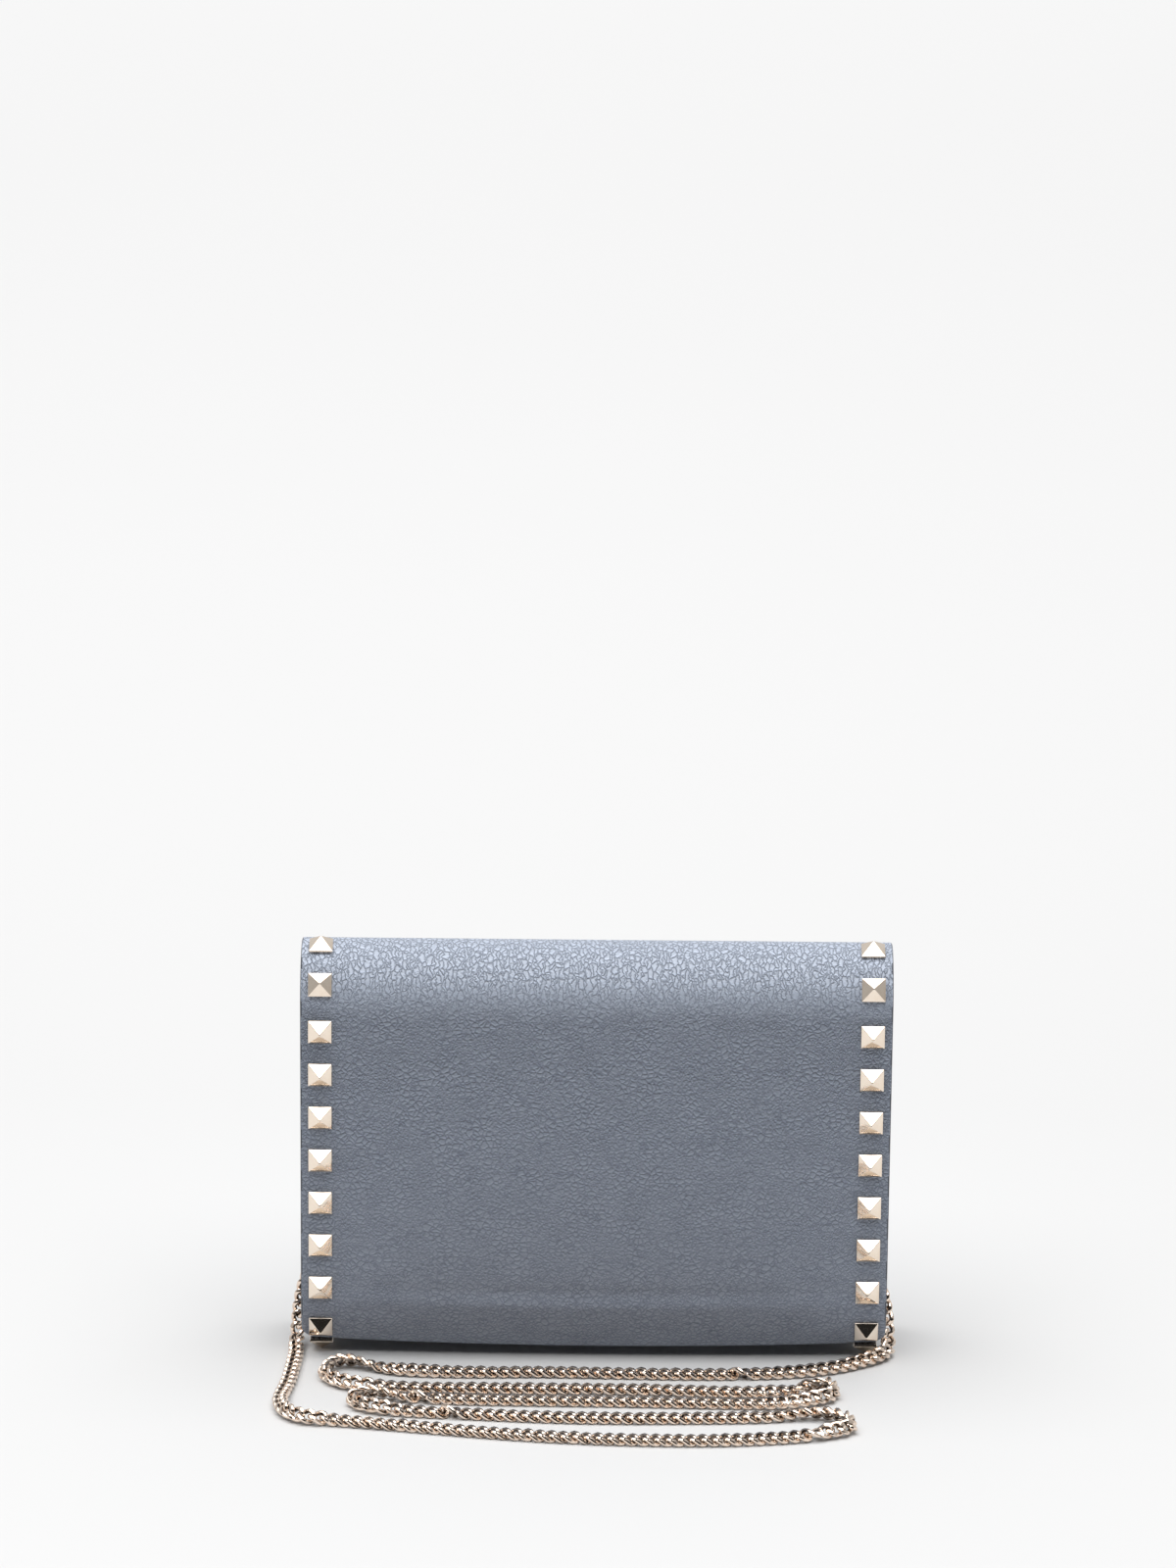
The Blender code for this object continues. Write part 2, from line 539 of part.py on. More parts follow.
def add_slider(slide):
    """The slider: a plate over the teeth with a lip down each side and two ears for the pull."""
    lip_in = GAP / 2 + ZIP_TEETH_WIDTH + GAP
    lip_out = lip_in + SLIDER_FLANGE
    lip_z = TEETH_Z + ZIP_TAPE + GAP
    ear_in = PULL_NECK / 2 + GAP
    ear_out = ear_in + EAR_THICKNESS
    top = SLIDER_Z + SLIDER_PLATE
    ear_top = top + EAR_HEIGHT
    outline = [(lip_out, lip_z), (lip_out, top), (ear_out, top), (ear_out, ear_top), (ear_in, ear_top), (ear_in, top)]
    outline += [(-u, v) for u, v in reversed(outline)]
    outline += [(-lip_in, lip_z), (-lip_in, SLIDER_Z), (lip_in, SLIDER_Z), (lip_in, lip_z)]
    half = SLIDER_LENGTH / 2
    body = []
    for x in (SLIDER_X - half, SLIDER_X + half):
        body.append([(x, ZIP_Y + u, v) for u, v in outline])
    slider = add_mesh("zip_slider", *quad_rings(body), "metal", slide)
    # The ears are only as long as they are high: a cutter takes the rest of them away.
    ear_half = EAR_HEIGHT / 2
    vertices, faces = [], []
    for x0, x1 in ((SLIDER_X - 2 * half, SLIDER_X - ear_half), (SLIDER_X + ear_half, SLIDER_X + 2 * half)):
        rings = [[(x0, -1 + ZIP_Y, z), (x1, -1 + ZIP_Y, z), (x1, 1 + ZIP_Y, z), (x0, 1 + ZIP_Y, z)]
                 for z in (top, ear_top + 1 * MM)]
        more, sides = quad_rings(rings)
        faces += [tuple(i + len(vertices) for i in face) for face in sides]
        vertices += more
    cutter = add_mesh("zip_slider_cutter", vertices, faces, "metal", slide)
    cutter.hide_render = True
    cutter.display_type = "WIRE"
    cut = slider.modifiers.new("short_ears", "BOOLEAN")
    cut.operation, cut.solver, cut.object = "DIFFERENCE", "EXACT", cutter


def add_pull(flip):
    """The pull: a neck between the slider's ears, and a leather-backed tab lying towards -X."""
    low, high = PULL_PIVOT_Z - PULL_THICKNESS / 2, PULL_PIVOT_Z + PULL_THICKNESS / 2
    neck, wide = PULL_NECK / 2, PULL_WIDTH / 2
    start, shoulder = SLIDER_X + PULL_THICKNESS / 2, SLIDER_X - EAR_HEIGHT / 2 - 2 * GAP
    end = SLIDER_X - PULL_LENGTH
    outline = [(start, neck), (shoulder, neck), (shoulder - 1 * MM, wide), (end + 1 * MM, wide), (end, wide - 1 * MM)]
    outline += [(x, -y) for x, y in reversed(outline)]
    rings = [[(x, ZIP_Y + y, z) for x, y in outline] for z in (low, high)]
    add_mesh("zip_pull", *quad_rings(rings), "metal", flip)


def add_plate(name, outer, holes, y0, y1, kind, holder):
    """A flat plate in the XZ plane, filled between its outline and its holes, then given its thickness."""
    place = world_place(holder)
    work = bmesh.new()
    edges = []
    for loop in [outer, *holes]:
        points = [work.verts.new(Vector((x, y0, z)) - place) for x, z in loop]
        edges += [work.edges.new((a, b)) for a, b in zip(points, points[1:] + points[:1])]
    bmesh.ops.triangle_fill(work, edges=edges, use_beauty=True, use_dissolve=False)
    made = bmesh.ops.extrude_face_region(work, geom=list(work.faces))["geom"]
    moved = [v for v in made if isinstance(v, bmesh.types.BMVert)]
    bmesh.ops.translate(work, verts=moved, vec=(0, y1 - y0, 0))
    bmesh.ops.recalc_face_normals(work, faces=work.faces)
    mesh = bpy.data.meshes.new(name)
    work.to_mesh(mesh)
    work.free()
    mesh.shade_smooth()
    mesh.set_sharp_from_angle(angle=math.radians(40))
    mesh.materials.append(finish_for(name, kind))
    plate = bpy.data.objects.new(name, mesh)
    plate.parent = holder
    bpy.context.scene.collection.objects.link(plate)
    return plate


def round_points(x, z, radius, start_deg, end_deg, steps):
    turns = [math.radians(start_deg + (end_deg - start_deg) * i / steps) for i in range(steps + 1)]
    return [(x + radius * math.cos(t), z + radius * math.sin(t)) for t in turns]


def add_wire_ring(name, points, radius, holder):
    """A closed ring of round wire."""
    place = world_place(holder)
    curve = bpy.data.curves.new(name, "CURVE")
    curve.dimensions = "3D"
    curve.bevel_depth = radius
    curve.bevel_resolution = 2
    spline = curve.splines.new("POLY")
    spline.points.add(len(points) - 1)
    for slot, point in zip(spline.points, points):
        slot.co = (*(Vector(point) - place), 1.0)
    spline.use_cyclic_u = True
    curve.materials.append(finish_for(name, "metal"))
    ring = bpy.data.objects.new(name, curve)
    ring.parent = holder
    bpy.context.scene.collection.objects.link(ring)
    return ring


def add_ring_tab(side, sign):
    """A leather loop that hangs from the gusset's fold, with the ring's bar in its bend."""
    inner, outer = RING_WIRE_RADIUS + GAP, RING_WIRE_RADIUS + GAP + TAB_LEATHER
    x, top = sign * RING_X, RING_Z + TAB_LENGTH
    outline = [(x + outer, top), *round_points(x, RING_Z, outer, 0, -180, 10), (x - outer, top)]
    outline += [(x - inner, top), *round_points(x, RING_Z, inner, -180, 0, 8), (x + inner, top)]
    rings = [[(px, y, pz) for px, pz in outline] for y in (RING_Y - TAB_HALF_WIDTH, RING_Y + TAB_HALF_WIDTH)]
    add_mesh(f"ring_tab_{side}", *quad_rings(rings), "leather", None, 40)


def add_ring(side, sign, swing):
    """The D-ring: a straight bar in the tab's bend and a round bow below it."""
    x, low = sign * RING_X, RING_Z - RING_STRAIGHT
    points = [(x, RING_Y + y, z) for y, z in round_points(0, low, RING_HALF_WIDTH, 0, -180, 12)]
    points += [(x, RING_Y - RING_HALF_WIDTH, RING_Z), (x, RING_Y + RING_HALF_WIDTH, RING_Z)]
    add_wire_ring(f"d_ring_{side}", points, RING_WIRE_RADIUS, swing)


def add_clasp(side, sign, swing, gate):
    """A hook that hangs in the D-ring, an eye under it, and a sprung gate on its outer side."""
    half, bar = CLASP_HALF_WIDTH, CLASP_BAR
    window = half - bar
    window_low = GATE_PIVOT_Z - bar / 2 - GAP
    body_low = CLASP_ARC_Z - CLASP_BODY_LENGTH
    centre_x = sign * RING_X

    def mirrored(points):
        return [(centre_x + sign * px, pz) for px, pz in points]

    gap_low, gap_high = window_low, GATE_TOP_Z + GAP
    neck_deg = 40
    outline = [(half, gap_high), *round_points(0, CLASP_ARC_Z, half, 0, 180, 14), (-half, body_low)]
    outline += round_points(0, EYE_Z, CLASP_EYE_RADIUS, 90 + neck_deg, 450 - neck_deg, 16)
    outline += [(half, body_low), (half, gap_low), (-window, gap_low)]
    outline += [*round_points(0, CLASP_ARC_Z, window, 180, 0, 10), (window, gap_high)]
    hole = round_points(0, EYE_Z, CLASP_EYE_HOLE_RADIUS, 0, 330, 11)
    y0, y1 = RING_Y - CLASP_THICKNESS / 2, RING_Y + CLASP_THICKNESS / 2
    add_plate(f"clasp_hook_{side}", mirrored(outline), [mirrored(hole)], y0, y1, "metal", swing)
    low, thin = GATE_PIVOT_Z - bar / 2, bar / 2 - 0.1 * MM
    centre = half - bar / 2
    lever = [(centre + thin, GATE_TOP_Z), (centre - thin, GATE_TOP_Z)]
    lever += round_points(centre, low + thin, thin, 180, 360, 6)
    y0, y1 = RING_Y - GATE_THICKNESS / 2, RING_Y + GATE_THICKNESS / 2
    add_plate(f"clasp_gate_{side}", mirrored(lever), [], y0, y1, "metal", gate)


def smooth_line(points):
    """A dense Catmull-Rom curve through the route's own points, in metres, and each one's index on it."""
    given = [Vector(p) * MM for p in points]
    given = [given[0] * 2 - given[1], *given, given[-1] * 2 - given[-2]]
    dense = []
    for a, b, c, d in zip(given, given[1:], given[2:], given[3:]):
        for i in range(ROUTE_SUBDIVISION):
            t = i / ROUTE_SUBDIVISION
            pull, bend = 2 * a - 5 * b + 4 * c - d, 3 * b - a - 3 * c + d
            dense.append(0.5 * (2 * b + (c - a) * t + pull * t**2 + bend * t**3))
    dense.append(given[-2])
    return np.array([tuple(p) for p in dense])


def stretch_of(line, start, end):
    """Points along part of a dense line: a short straight lead at each end, even steps between."""
    part = line[start : end + 1]
    along = np.concatenate([[0], np.cumsum(np.linalg.norm(np.diff(part, axis=0), axis=1))])
    lead, margin = CHAIN_LEAD, CHAIN_END_GAP / 2
    inner = along[-1] - 2 * (lead + margin)
    steps = max(1, round(inner / CHAIN_STEP))
    marks = [margin, *(margin + lead + inner * i / steps for i in range(steps + 1)), along[-1] - margin]
    return [Vector([float(np.interp(m, along, part[:, k])) for k in range(3)]) for m in marks]


def add_chain_tube(name, route):
    """One stretch of the chain as a round tube."""
    curve = bpy.data.curves.new(name, "CURVE")
    curve.dimensions = "3D"
    curve.bevel_depth = CHAIN_RADIUS
    curve.bevel_resolution = 2
    curve.use_fill_caps = True
    spline = curve.splines.new("POLY")
    spline.points.add(len(route) - 1)
    for slot, point in zip(spline.points, route):
        slot.co = (*point, 1.0)
    curve.materials.append(finish_for(name, "metal"))
    tube = bpy.data.objects.new(name, curve)
    bpy.context.scene.collection.objects.link(tube)


def routed(point):
    """A point of the route, in mm, moved from the sizes it was drawn for to the real ones."""
    x, y, z = (value * MM for value in point)
    x += (FLAP_HALF_WIDTH - ROUTE_HALF_WIDTH) * max(-1.0, min(1.0, x / ROUTE_FULL_SPREAD_X))
    inside = max(0.0, min(1.0, (y - ROUTE_LANDING_Y) / (ROUTE_RING_Y - ROUTE_LANDING_Y)))
    y += (1 - inside) * (FLAP_FRONT_Y - ROUTE_FRONT_Y) + inside * (RING_Y - ROUTE_RING_Y)
    z += max(0.0, z - ROUTE_LOW_Z) / (ROUTE_TOP_Z - ROUTE_LOW_Z) * (CHAIN_TOP_Z - ROUTE_TOP_Z)
    return (x / MM, y / MM, z / MM)


def add_chain():
    """The whole chain on one smooth line, as three tubes that meet face to face where it lands."""
    ring = (RING_X / MM, RING_Y / MM, CHAIN_TOP_Z / MM)
    right = [ring, *map(routed, RIGHT_RISER)]
    floor = [routed(point) for point in FLOOR_RUN]
    left = [*map(routed, LEFT_RISER), (-ring[0], ring[1], ring[2])]
    line = smooth_line(right + floor + left)
    landing = len(right) * ROUTE_SUBDIVISION
    rising = (len(right) + len(floor) - 1) * ROUTE_SUBDIVISION
    add_chain_tube("chain_riser_right", stretch_of(line, 0, landing))
    add_chain_tube("chain_floor_run", stretch_of(line, landing, rising))
    add_chain_tube("chain_riser_left", stretch_of(line, rising, len(line) - 1))


def add_hardware():
    """The ring, clasp and jump ring on each side."""
    for side, sign in (("left", -1), ("right", 1)):
        swing = joint_axis(f"ring_swing_{side}", sign * RING_X, RING_Y, RING_Z)
        gate = joint_axis(f"clasp_gate_pivot_{side}", 0, 0, GATE_PIVOT_Z - RING_Z)
        gate.location.x = sign * (CLASP_HALF_WIDTH - CLASP_BAR / 2)
        gate.parent = swing
        add_ring_tab(side, sign)
        add_ring(side, sign, swing)
        add_clasp(side, sign, swing, gate)
        circle = round_points(0, JUMP_RING_Z, JUMP_RING_RADIUS, 0, 345, 23)
        points = [(sign * RING_X, RING_Y + y, z) for y, z in circle]
        add_wire_ring(f"jump_ring_{side}", points, JUMP_RING_WIRE_RADIUS, swing)


def build():
    clear_scene()
    hinge = joint_axis("flap_hinge", 0, BACK_Y, HINGE_Z)
    front = joint_axis("front_tilt", 0, FRONT_Y + LEATHER / 2, SEAM_Z)
    slide = joint_axis("zip_slide", SLIDER_X, ZIP_Y, SLIDER_Z)
    flip = joint_axis("zip_pull_flip", 0, 0, PULL_PIVOT_Z - SLIDER_Z)
    flip.parent = slide
    add_flap(hinge)
    add_snap(hinge, front)
    add_base()
    add_back()
    add_front(front)
    add_gussets()
    add_zip_pocket()
    add_slider(slide)
    add_pull(flip)
    add_hardware()
    add_chain()


build()
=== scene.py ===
"""Looks of a small flap chain wallet: grained leather, pyramid studs, a curb chain and the inside.

Lengths are in metres in the shared frame: +Z up, the front of the wallet towards -Y.
"""

import logging  # noqa: E402
import math  # noqa: E402
from dataclasses import dataclass, field  # noqa: E402
from enum import Enum  # noqa: E402
from typing import Callable, Iterable, Sequence  # noqa: E402

import bmesh  # noqa: E402
import bpy  # noqa: E402
import numpy as np  # noqa: E402
from mathutils import Matrix, Vector  # noqa: E402


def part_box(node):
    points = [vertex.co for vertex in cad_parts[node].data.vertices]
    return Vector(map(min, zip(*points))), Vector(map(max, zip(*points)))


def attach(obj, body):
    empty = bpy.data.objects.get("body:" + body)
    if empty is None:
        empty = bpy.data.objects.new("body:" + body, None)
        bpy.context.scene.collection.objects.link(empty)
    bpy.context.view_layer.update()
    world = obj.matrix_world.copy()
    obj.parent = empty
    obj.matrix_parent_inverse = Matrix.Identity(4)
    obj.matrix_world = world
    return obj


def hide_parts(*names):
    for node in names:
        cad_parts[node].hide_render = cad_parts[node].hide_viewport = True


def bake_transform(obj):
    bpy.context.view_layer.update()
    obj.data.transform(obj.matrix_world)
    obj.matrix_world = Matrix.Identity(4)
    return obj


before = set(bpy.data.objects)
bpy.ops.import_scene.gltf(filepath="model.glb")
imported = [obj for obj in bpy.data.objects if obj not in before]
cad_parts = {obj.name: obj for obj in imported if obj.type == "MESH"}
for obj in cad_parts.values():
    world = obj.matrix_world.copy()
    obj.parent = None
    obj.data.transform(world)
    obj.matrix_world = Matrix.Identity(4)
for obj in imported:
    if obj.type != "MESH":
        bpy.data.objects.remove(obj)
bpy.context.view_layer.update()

LOG = logging.getLogger("wallet")
MM = 0.001
TAU = 2 * math.pi
GRAIN_UNIT = 10 * MM

# Shared sizes of the wallet.
HALF_WIDTH = 100.0 * MM
TOP_RADIUS = 19.0 * MM
TOP_Y = 2.05 * MM
HINGE_Z = 126.0 * MM
BACK_Y = TOP_Y + TOP_RADIUS
FRONT_FACE_Y = TOP_Y - TOP_RADIUS
LEATHER = 1.8 * MM
STUD_X = 93.3 * MM
STUD_PITCH = 15.35 * MM


class Body(str, Enum):
    """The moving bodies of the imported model."""

    ROOT = "root"
    FLAP = "flap"
    FRONT = "front"
    SLIDER = "slider"
    PULL = "pull"
    RING_LEFT = "ring_left"
    RING_RIGHT = "ring_right"
    GATE_LEFT = "gate_left"
    GATE_RIGHT = "gate_right"


class Slot(str, Enum):
    """The record's material slots."""

    LEATHER = "leather"
    POCKET_LEATHER = "pocket_leather"
    LINING = "lining"
    ZIP_TAPE = "zip_tape"
    STUDS = "studs"
    CHAIN_HARDWARE = "chain_hardware"
    ZIP_METAL = "zip_metal"
    SNAP_METAL = "snap_metal"
    CHAIN = "chain"


class Side(Enum):
    """One side of the wallet, with the sign of its x."""

    LEFT = -1
    RIGHT = 1

    @property
    def word(self) -> str:
        """The side's name, as the CAD nodes spell it."""
        return self.name.lower()

    @property
    def ring_body(self) -> Body:
        """The body of this side's swinging ring."""
        return Body.RING_LEFT if self is Side.LEFT else Body.RING_RIGHT

    @property
    def gate_body(self) -> Body:
        """The body of this side's clasp gate."""
        return Body.GATE_LEFT if self is Side.LEFT else Body.GATE_RIGHT


# ---------------------------------------------------------------- shader graphs


class Graph:
    """A material's node tree, with short ways to add and join nodes."""

    def __init__(self, name: str) -> None:
        """Makes an empty material with one principled shader.

        Args:
            name: The material's name.
        """
        self.material = bpy.data.materials.new(name)
        self.material.use_nodes = True
        self.tree = self.material.node_tree
        self.tree.nodes.clear()
        self.shader = self.tree.nodes.new("ShaderNodeBsdfPrincipled")
        output = self.tree.nodes.new("ShaderNodeOutputMaterial")
        self.join(self.shader.outputs[0], output.inputs[0])

    def join(self, source: bpy.types.NodeSocket, target: bpy.types.NodeSocket) -> None:
        """Links one socket to another."""
        self.tree.links.new(source, target)

    def node(self, kind: str, values: dict | None = None, **inputs: object) -> bpy.types.Node:
        """Adds a node.

        Args:
            kind: The node's type after "ShaderNode".
            values: Settings to put on the node itself.
            inputs: Input sockets by name, as numbers, colours or sockets to link. Underscores stand for spaces.

        Returns:
            The node.
        """
        made = self.tree.nodes.new("ShaderNode" + kind)
        for key, value in (values or {}).items():
            setattr(made, key, value)
        for key, value in inputs.items():
            self.put(made.inputs[key.replace("_", " ")], value)
        return made

    def put(self, socket: bpy.types.NodeSocket, value: object) -> None:
        """Sets a socket to a value, or links another socket to it."""
        if isinstance(value, bpy.types.NodeSocket):
            self.join(value, socket)
        else:
            socket.default_value = value

    def math(self, operation: str, *values: object, clamp: bool = False) -> bpy.types.NodeSocket:
        """Adds a math node and returns its output.

        Args:
            operation: The operation's name.
            values: Numbers or sockets.
            clamp: Whether the result stays from 0 to 1.

        Returns:
            The output socket.
        """
        made = self.tree.nodes.new("ShaderNodeMath")
        made.operation, made.use_clamp = operation, clamp
        for socket, value in zip(made.inputs, values):
            self.put(socket, value)
        return made.outputs[0]

    def spread(self, value: object, low: float, high: float, to_low: float, to_high: float) -> bpy.types.NodeSocket:
        """Maps a value from one range to another, clamped, and returns the output."""
        made = self.node("MapRange", {"clamp": True})
        for index, number in enumerate((value, low, high, to_low, to_high)):
            self.put(made.inputs[index], number)
        return made.outputs[0]

    def blend(self, amount: object, first: object, second: object) -> bpy.types.NodeSocket:
        """Mixes two colours and returns the output."""
        made = self.node("Mix", {"data_type": "RGBA"})
        self.put(made.inputs[0], amount)
        self.put(made.inputs[6], first)
        self.put(made.inputs[7], second)
        return made.outputs[2]

    def blend_value(self, amount: object, first: object, second: object) -> bpy.types.NodeSocket:
        """Mixes two numbers and returns the output."""
        made = self.node("Mix", {"data_type": "FLOAT"})
        self.put(made.inputs[0], amount)
        self.put(made.inputs[2], first)
        self.put(made.inputs[3], second)
        return made.outputs[0]

    def scaled(self, vector: object, scale: Sequence[float]) -> bpy.types.NodeSocket:
        """Scales a vector along its axes and returns the output."""
        made = self.node("VectorMath", {"operation": "MULTIPLY"})
        self.put(made.inputs[0], vector)
        made.inputs[1].default_value = tuple(scale)
        return made.outputs[0]

    def moved(self, vector: object, by: Sequence[float]) -> bpy.types.NodeSocket:
        """Moves a vector by a fixed amount and returns the output."""
        made = self.node("VectorMath", {"operation": "ADD"})
        self.put(made.inputs[0], vector)
        made.inputs[1].default_value = tuple(by)
        return made.outputs[0]

    def times(self, colour: object, amount: object) -> bpy.types.NodeSocket:
        """Makes a colour lighter or darker and returns the output."""
        made = self.node("VectorMath", {"operation": "SCALE"})
        self.put(made.inputs[0], colour if isinstance(colour, bpy.types.NodeSocket) else tuple(colour)[:3])
        self.put(made.inputs["Scale"], amount)
        return made.outputs[0]

    def warped(self, vector: object, scale: float, amount: float) -> bpy.types.NodeSocket:
        """Pushes a vector about with soft noise and returns the output."""
        noise = self.node("TexNoise", Vector=vector, Scale=scale, Detail=2.0)
        centred = self.node("VectorMath", {"operation": "SUBTRACT"})
        self.join(noise.outputs["Color"], centred.inputs[0])
        centred.inputs[1].default_value = (0.5, 0.5, 0.5)
        moved = self.node("VectorMath", {"operation": "MULTIPLY_ADD"})
        self.join(centred.outputs[0], moved.inputs[0])
        moved.inputs[1].default_value = (amount, amount, amount)
        self.put(moved.inputs[2], vector)
        return moved.outputs[0]

    def bump(self, height: object, distance: float, strength: float = 1.0, below: object = None) -> bpy.types.NodeSocket:
        """Adds a bump and returns its normal.

        Args:
            height: The height, from 0 to 1.
            distance: The depth in metres of that range.
            strength: How much of it shows.
            below: The normal of a coarser bump, if any.

        Returns:
            The normal socket.
        """
        made = self.node("Bump", Strength=strength, Distance=distance, Height=height)
        if below is not None:
            self.put(made.inputs["Normal"], below)
        return made.outputs[0]


class Coordinates(Enum):
    """Where a finish takes its coordinates from."""

    GRAIN = "the grain UV map, one unit per centimetre"
    SPACE = "the piece's own space, one unit per centimetre"


def coordinates_of(graph: Graph, kind: Coordinates) -> bpy.types.NodeSocket:
    """The coordinate socket for a finish."""
    if kind is Coordinates.GRAIN:
        return graph.node("UVMap", {"uv_map": "grain"}).outputs[0]
    place = graph.node("TexCoord").outputs["Object"]
    return graph.scaled(place, (1 / GRAIN_UNIT,) * 3)


Colour = tuple[float, float, float, float]


def rgb(red: float, green: float, blue: float) -> Colour:
    """A linear colour from 0-255 sRGB values."""
    linear = [
        c / 12.92 if c <= 0.04045 else ((c + 0.055) / 1.055) ** 2.4
        for c in (red / 255, green / 255, blue / 255)
    ]
    return (linear[0], linear[1], linear[2], 1.0)


@dataclass(frozen=True)
class Finish:
    """A surface finish. Subclasses draw the material."""

    name: str

    def draw(self, graph: Graph) -> None:
        """Fills the graph's shader."""
        raise NotImplementedError

    def material(self) -> bpy.types.Material:
        """The finish's material, made once."""
        found = bpy.data.materials.get(self.name)
        if found is None:
            graph = Graph(self.name)
            self.draw(graph)
            found = graph.material
        return found


@dataclass(frozen=True)
class GrainedLeather(Finish):
    """Pebbled calf leather. Its grain is drawn out where the flap bends, and there its colour is lighter: a stretched
    finish with a painted sheen. Its colour also holds painted emboss light and shade, and painted shade in the creases.
    """

    colour: Colour = rgb(138, 146, 160)
    # Painted shade: the darker colour laid into the grain's creases.
    crease: Colour = rgb(105, 113, 128)
    coordinates: Coordinates = Coordinates.GRAIN
    cells: float = 5.2
    depth: float = 0.34 * MM
    roughness: float = 0.46
    # How far up, and how strongly, the grain's painted emboss light and shade go into the base colour.
    rise: float = 0.042
    painted_emboss_light: float = 0.95

    def pebbles(self, graph: Graph, vector: object, cells: float, stretch: Sequence[float],
                crease: float = 0.26) -> bpy.types.NodeSocket:
        """A pebble height field from 0 in the narrow creases to 1 on the pebbles."""
        place = graph.scaled(graph.warped(vector, cells * 0.55, 0.22), stretch)
        edge = graph.node("TexVoronoi", {"feature": "DISTANCE_TO_EDGE"}, Vector=place, Scale=cells, Randomness=1.0)
        return graph.math("POWER", graph.spread(edge.outputs[0], 0.0, crease, 0.0, 1.0), 0.7)

    @staticmethod
    def flattened(graph: Graph, place: object) -> bpy.types.NodeSocket:
        """Lays space coordinates out flat, so that the grain is even on every side of a panel."""
        split = graph.node("SeparateXYZ", Vector=place)
        across = graph.math("MULTIPLY_ADD", split.outputs[1], 0.8, split.outputs[0])
        up = graph.math("MULTIPLY_ADD", split.outputs[1], 0.6, split.outputs[2])
        return graph.node("CombineXYZ", X=across, Y=up).outputs[0]

    def grain(self, graph: Graph, place: object, bend: object) -> bpy.types.NodeSocket:
        """The height of pebbles of two sizes, drawn out at the bend."""
        fine = self.pebbles(graph, place, self.cells, (1.0, 1.12, 1.0))
        small = self.pebbles(graph, place, self.cells * 1.9, (1.0, 1.0, 1.0), 0.34)
        drawn = self.pebbles(graph, place, self.cells * 1.35, (1.0, 0.36, 1.0), 0.26)
        where = graph.node("TexNoise", Vector=place, Scale=0.9, Detail=1.0).outputs[0]
        share = graph.spread(where, 0.4, 0.6, 0.2, 0.75)
        return graph.blend_value(bend, graph.blend_value(share, fine, small), drawn)

    def draw(self, graph: Graph) -> None:
        """Draws pebbles, drawn-out folds at the bend, fine pores, soft tone changes, painted emboss light and shade,
        painted shade in the creases and a painted sheen at the bend.
        """
        place = coordinates_of(graph, self.coordinates)
        if self.coordinates is Coordinates.SPACE:
            place = self.flattened(graph, place)
        bend = graph.node("Attribute", {"attribute_name": "bend"}).outputs["Fac"]
        calm = graph.node("Attribute", {"attribute_name": "calm"}).outputs["Fac"]
        grain = self.grain(graph, place, bend)
        # Painted light and shade: the grain minus the grain a little higher up, lighter where the pebbles face up and
        # darker where they face down, as a top light would show them.
        above = self.grain(graph, graph.moved(place, (0.0, self.rise, 0.0)), bend)
        painted_grain_light = graph.math("MULTIPLY", graph.math("SUBTRACT", grain, above), self.painted_emboss_light)
        pores = graph.node("TexNoise", Vector=place, Scale=95.0, Detail=3.0, Roughness=0.6)
        swell = graph.node("TexNoise", Vector=place, Scale=1.1, Detail=3.0)
        patch = graph.spread(swell.outputs[0], 0.35, 0.65, 0.0, 1.0)
        # Painted shade: the creases of the grain take the darker crease colour.
        shade = graph.blend(graph.spread(grain, 0.0, 0.7, 0.0, 1.0), self.crease, self.colour)
        lighter = tuple(min(1.0, c * 1.09) for c in self.colour[:3]) + (1.0,)
        toned = graph.blend(graph.math("MULTIPLY", patch, 0.3), shade, lighter)
        # A lighter stretched finish and a painted sheen at the top bend: the colour is lightened on the pebbles where
        # the flap bends.
        stretched_and_sheen_colour = tuple(min(1.0, c * 1.5 + 0.045) for c in self.colour[:3]) + (1.0,)
        stretch_and_sheen = graph.math("MULTIPLY", bend, graph.spread(grain, 0.0, 0.7, 0.1, 0.85))
        based = graph.blend(stretch_and_sheen, toned, stretched_and_sheen_colour)
        # The painted emboss light and shade, halved where the grain lies calm, scale the base colour.
        level = graph.math("ADD", 1.0, graph.blend_value(calm, painted_grain_light, graph.math("MULTIPLY", painted_grain_light, 0.5)))
        graph.put(graph.shader.inputs["Base Color"], graph.times(based, level))
        graph.put(
            graph.shader.inputs["Roughness"],
            graph.spread(grain, 0.0, 1.0, self.roughness + 0.16, self.roughness - 0.05),
        )
        strength = graph.spread(calm, 0.0, 1.0, 1.0, 0.45)
        broad = graph.bump(swell.outputs[0], 0.5 * MM, 0.35)
        pebbled = graph.node("Bump", Distance=self.depth, Height=grain)
        graph.put(pebbled.inputs["Strength"], strength)
        graph.put(pebbled.inputs["Normal"], broad)
        normal = graph.bump(pores.outputs[0], 0.012 * MM, 0.5, pebbled.outputs[0])
        graph.put(graph.shader.inputs["Normal"], normal)
        graph.shader.inputs["Specular IOR Level"].default_value = 0.6
        graph.shader.inputs["Sheen Weight"].default_value = 0.05
        graph.shader.inputs["Sheen Roughness"].default_value = 0.4


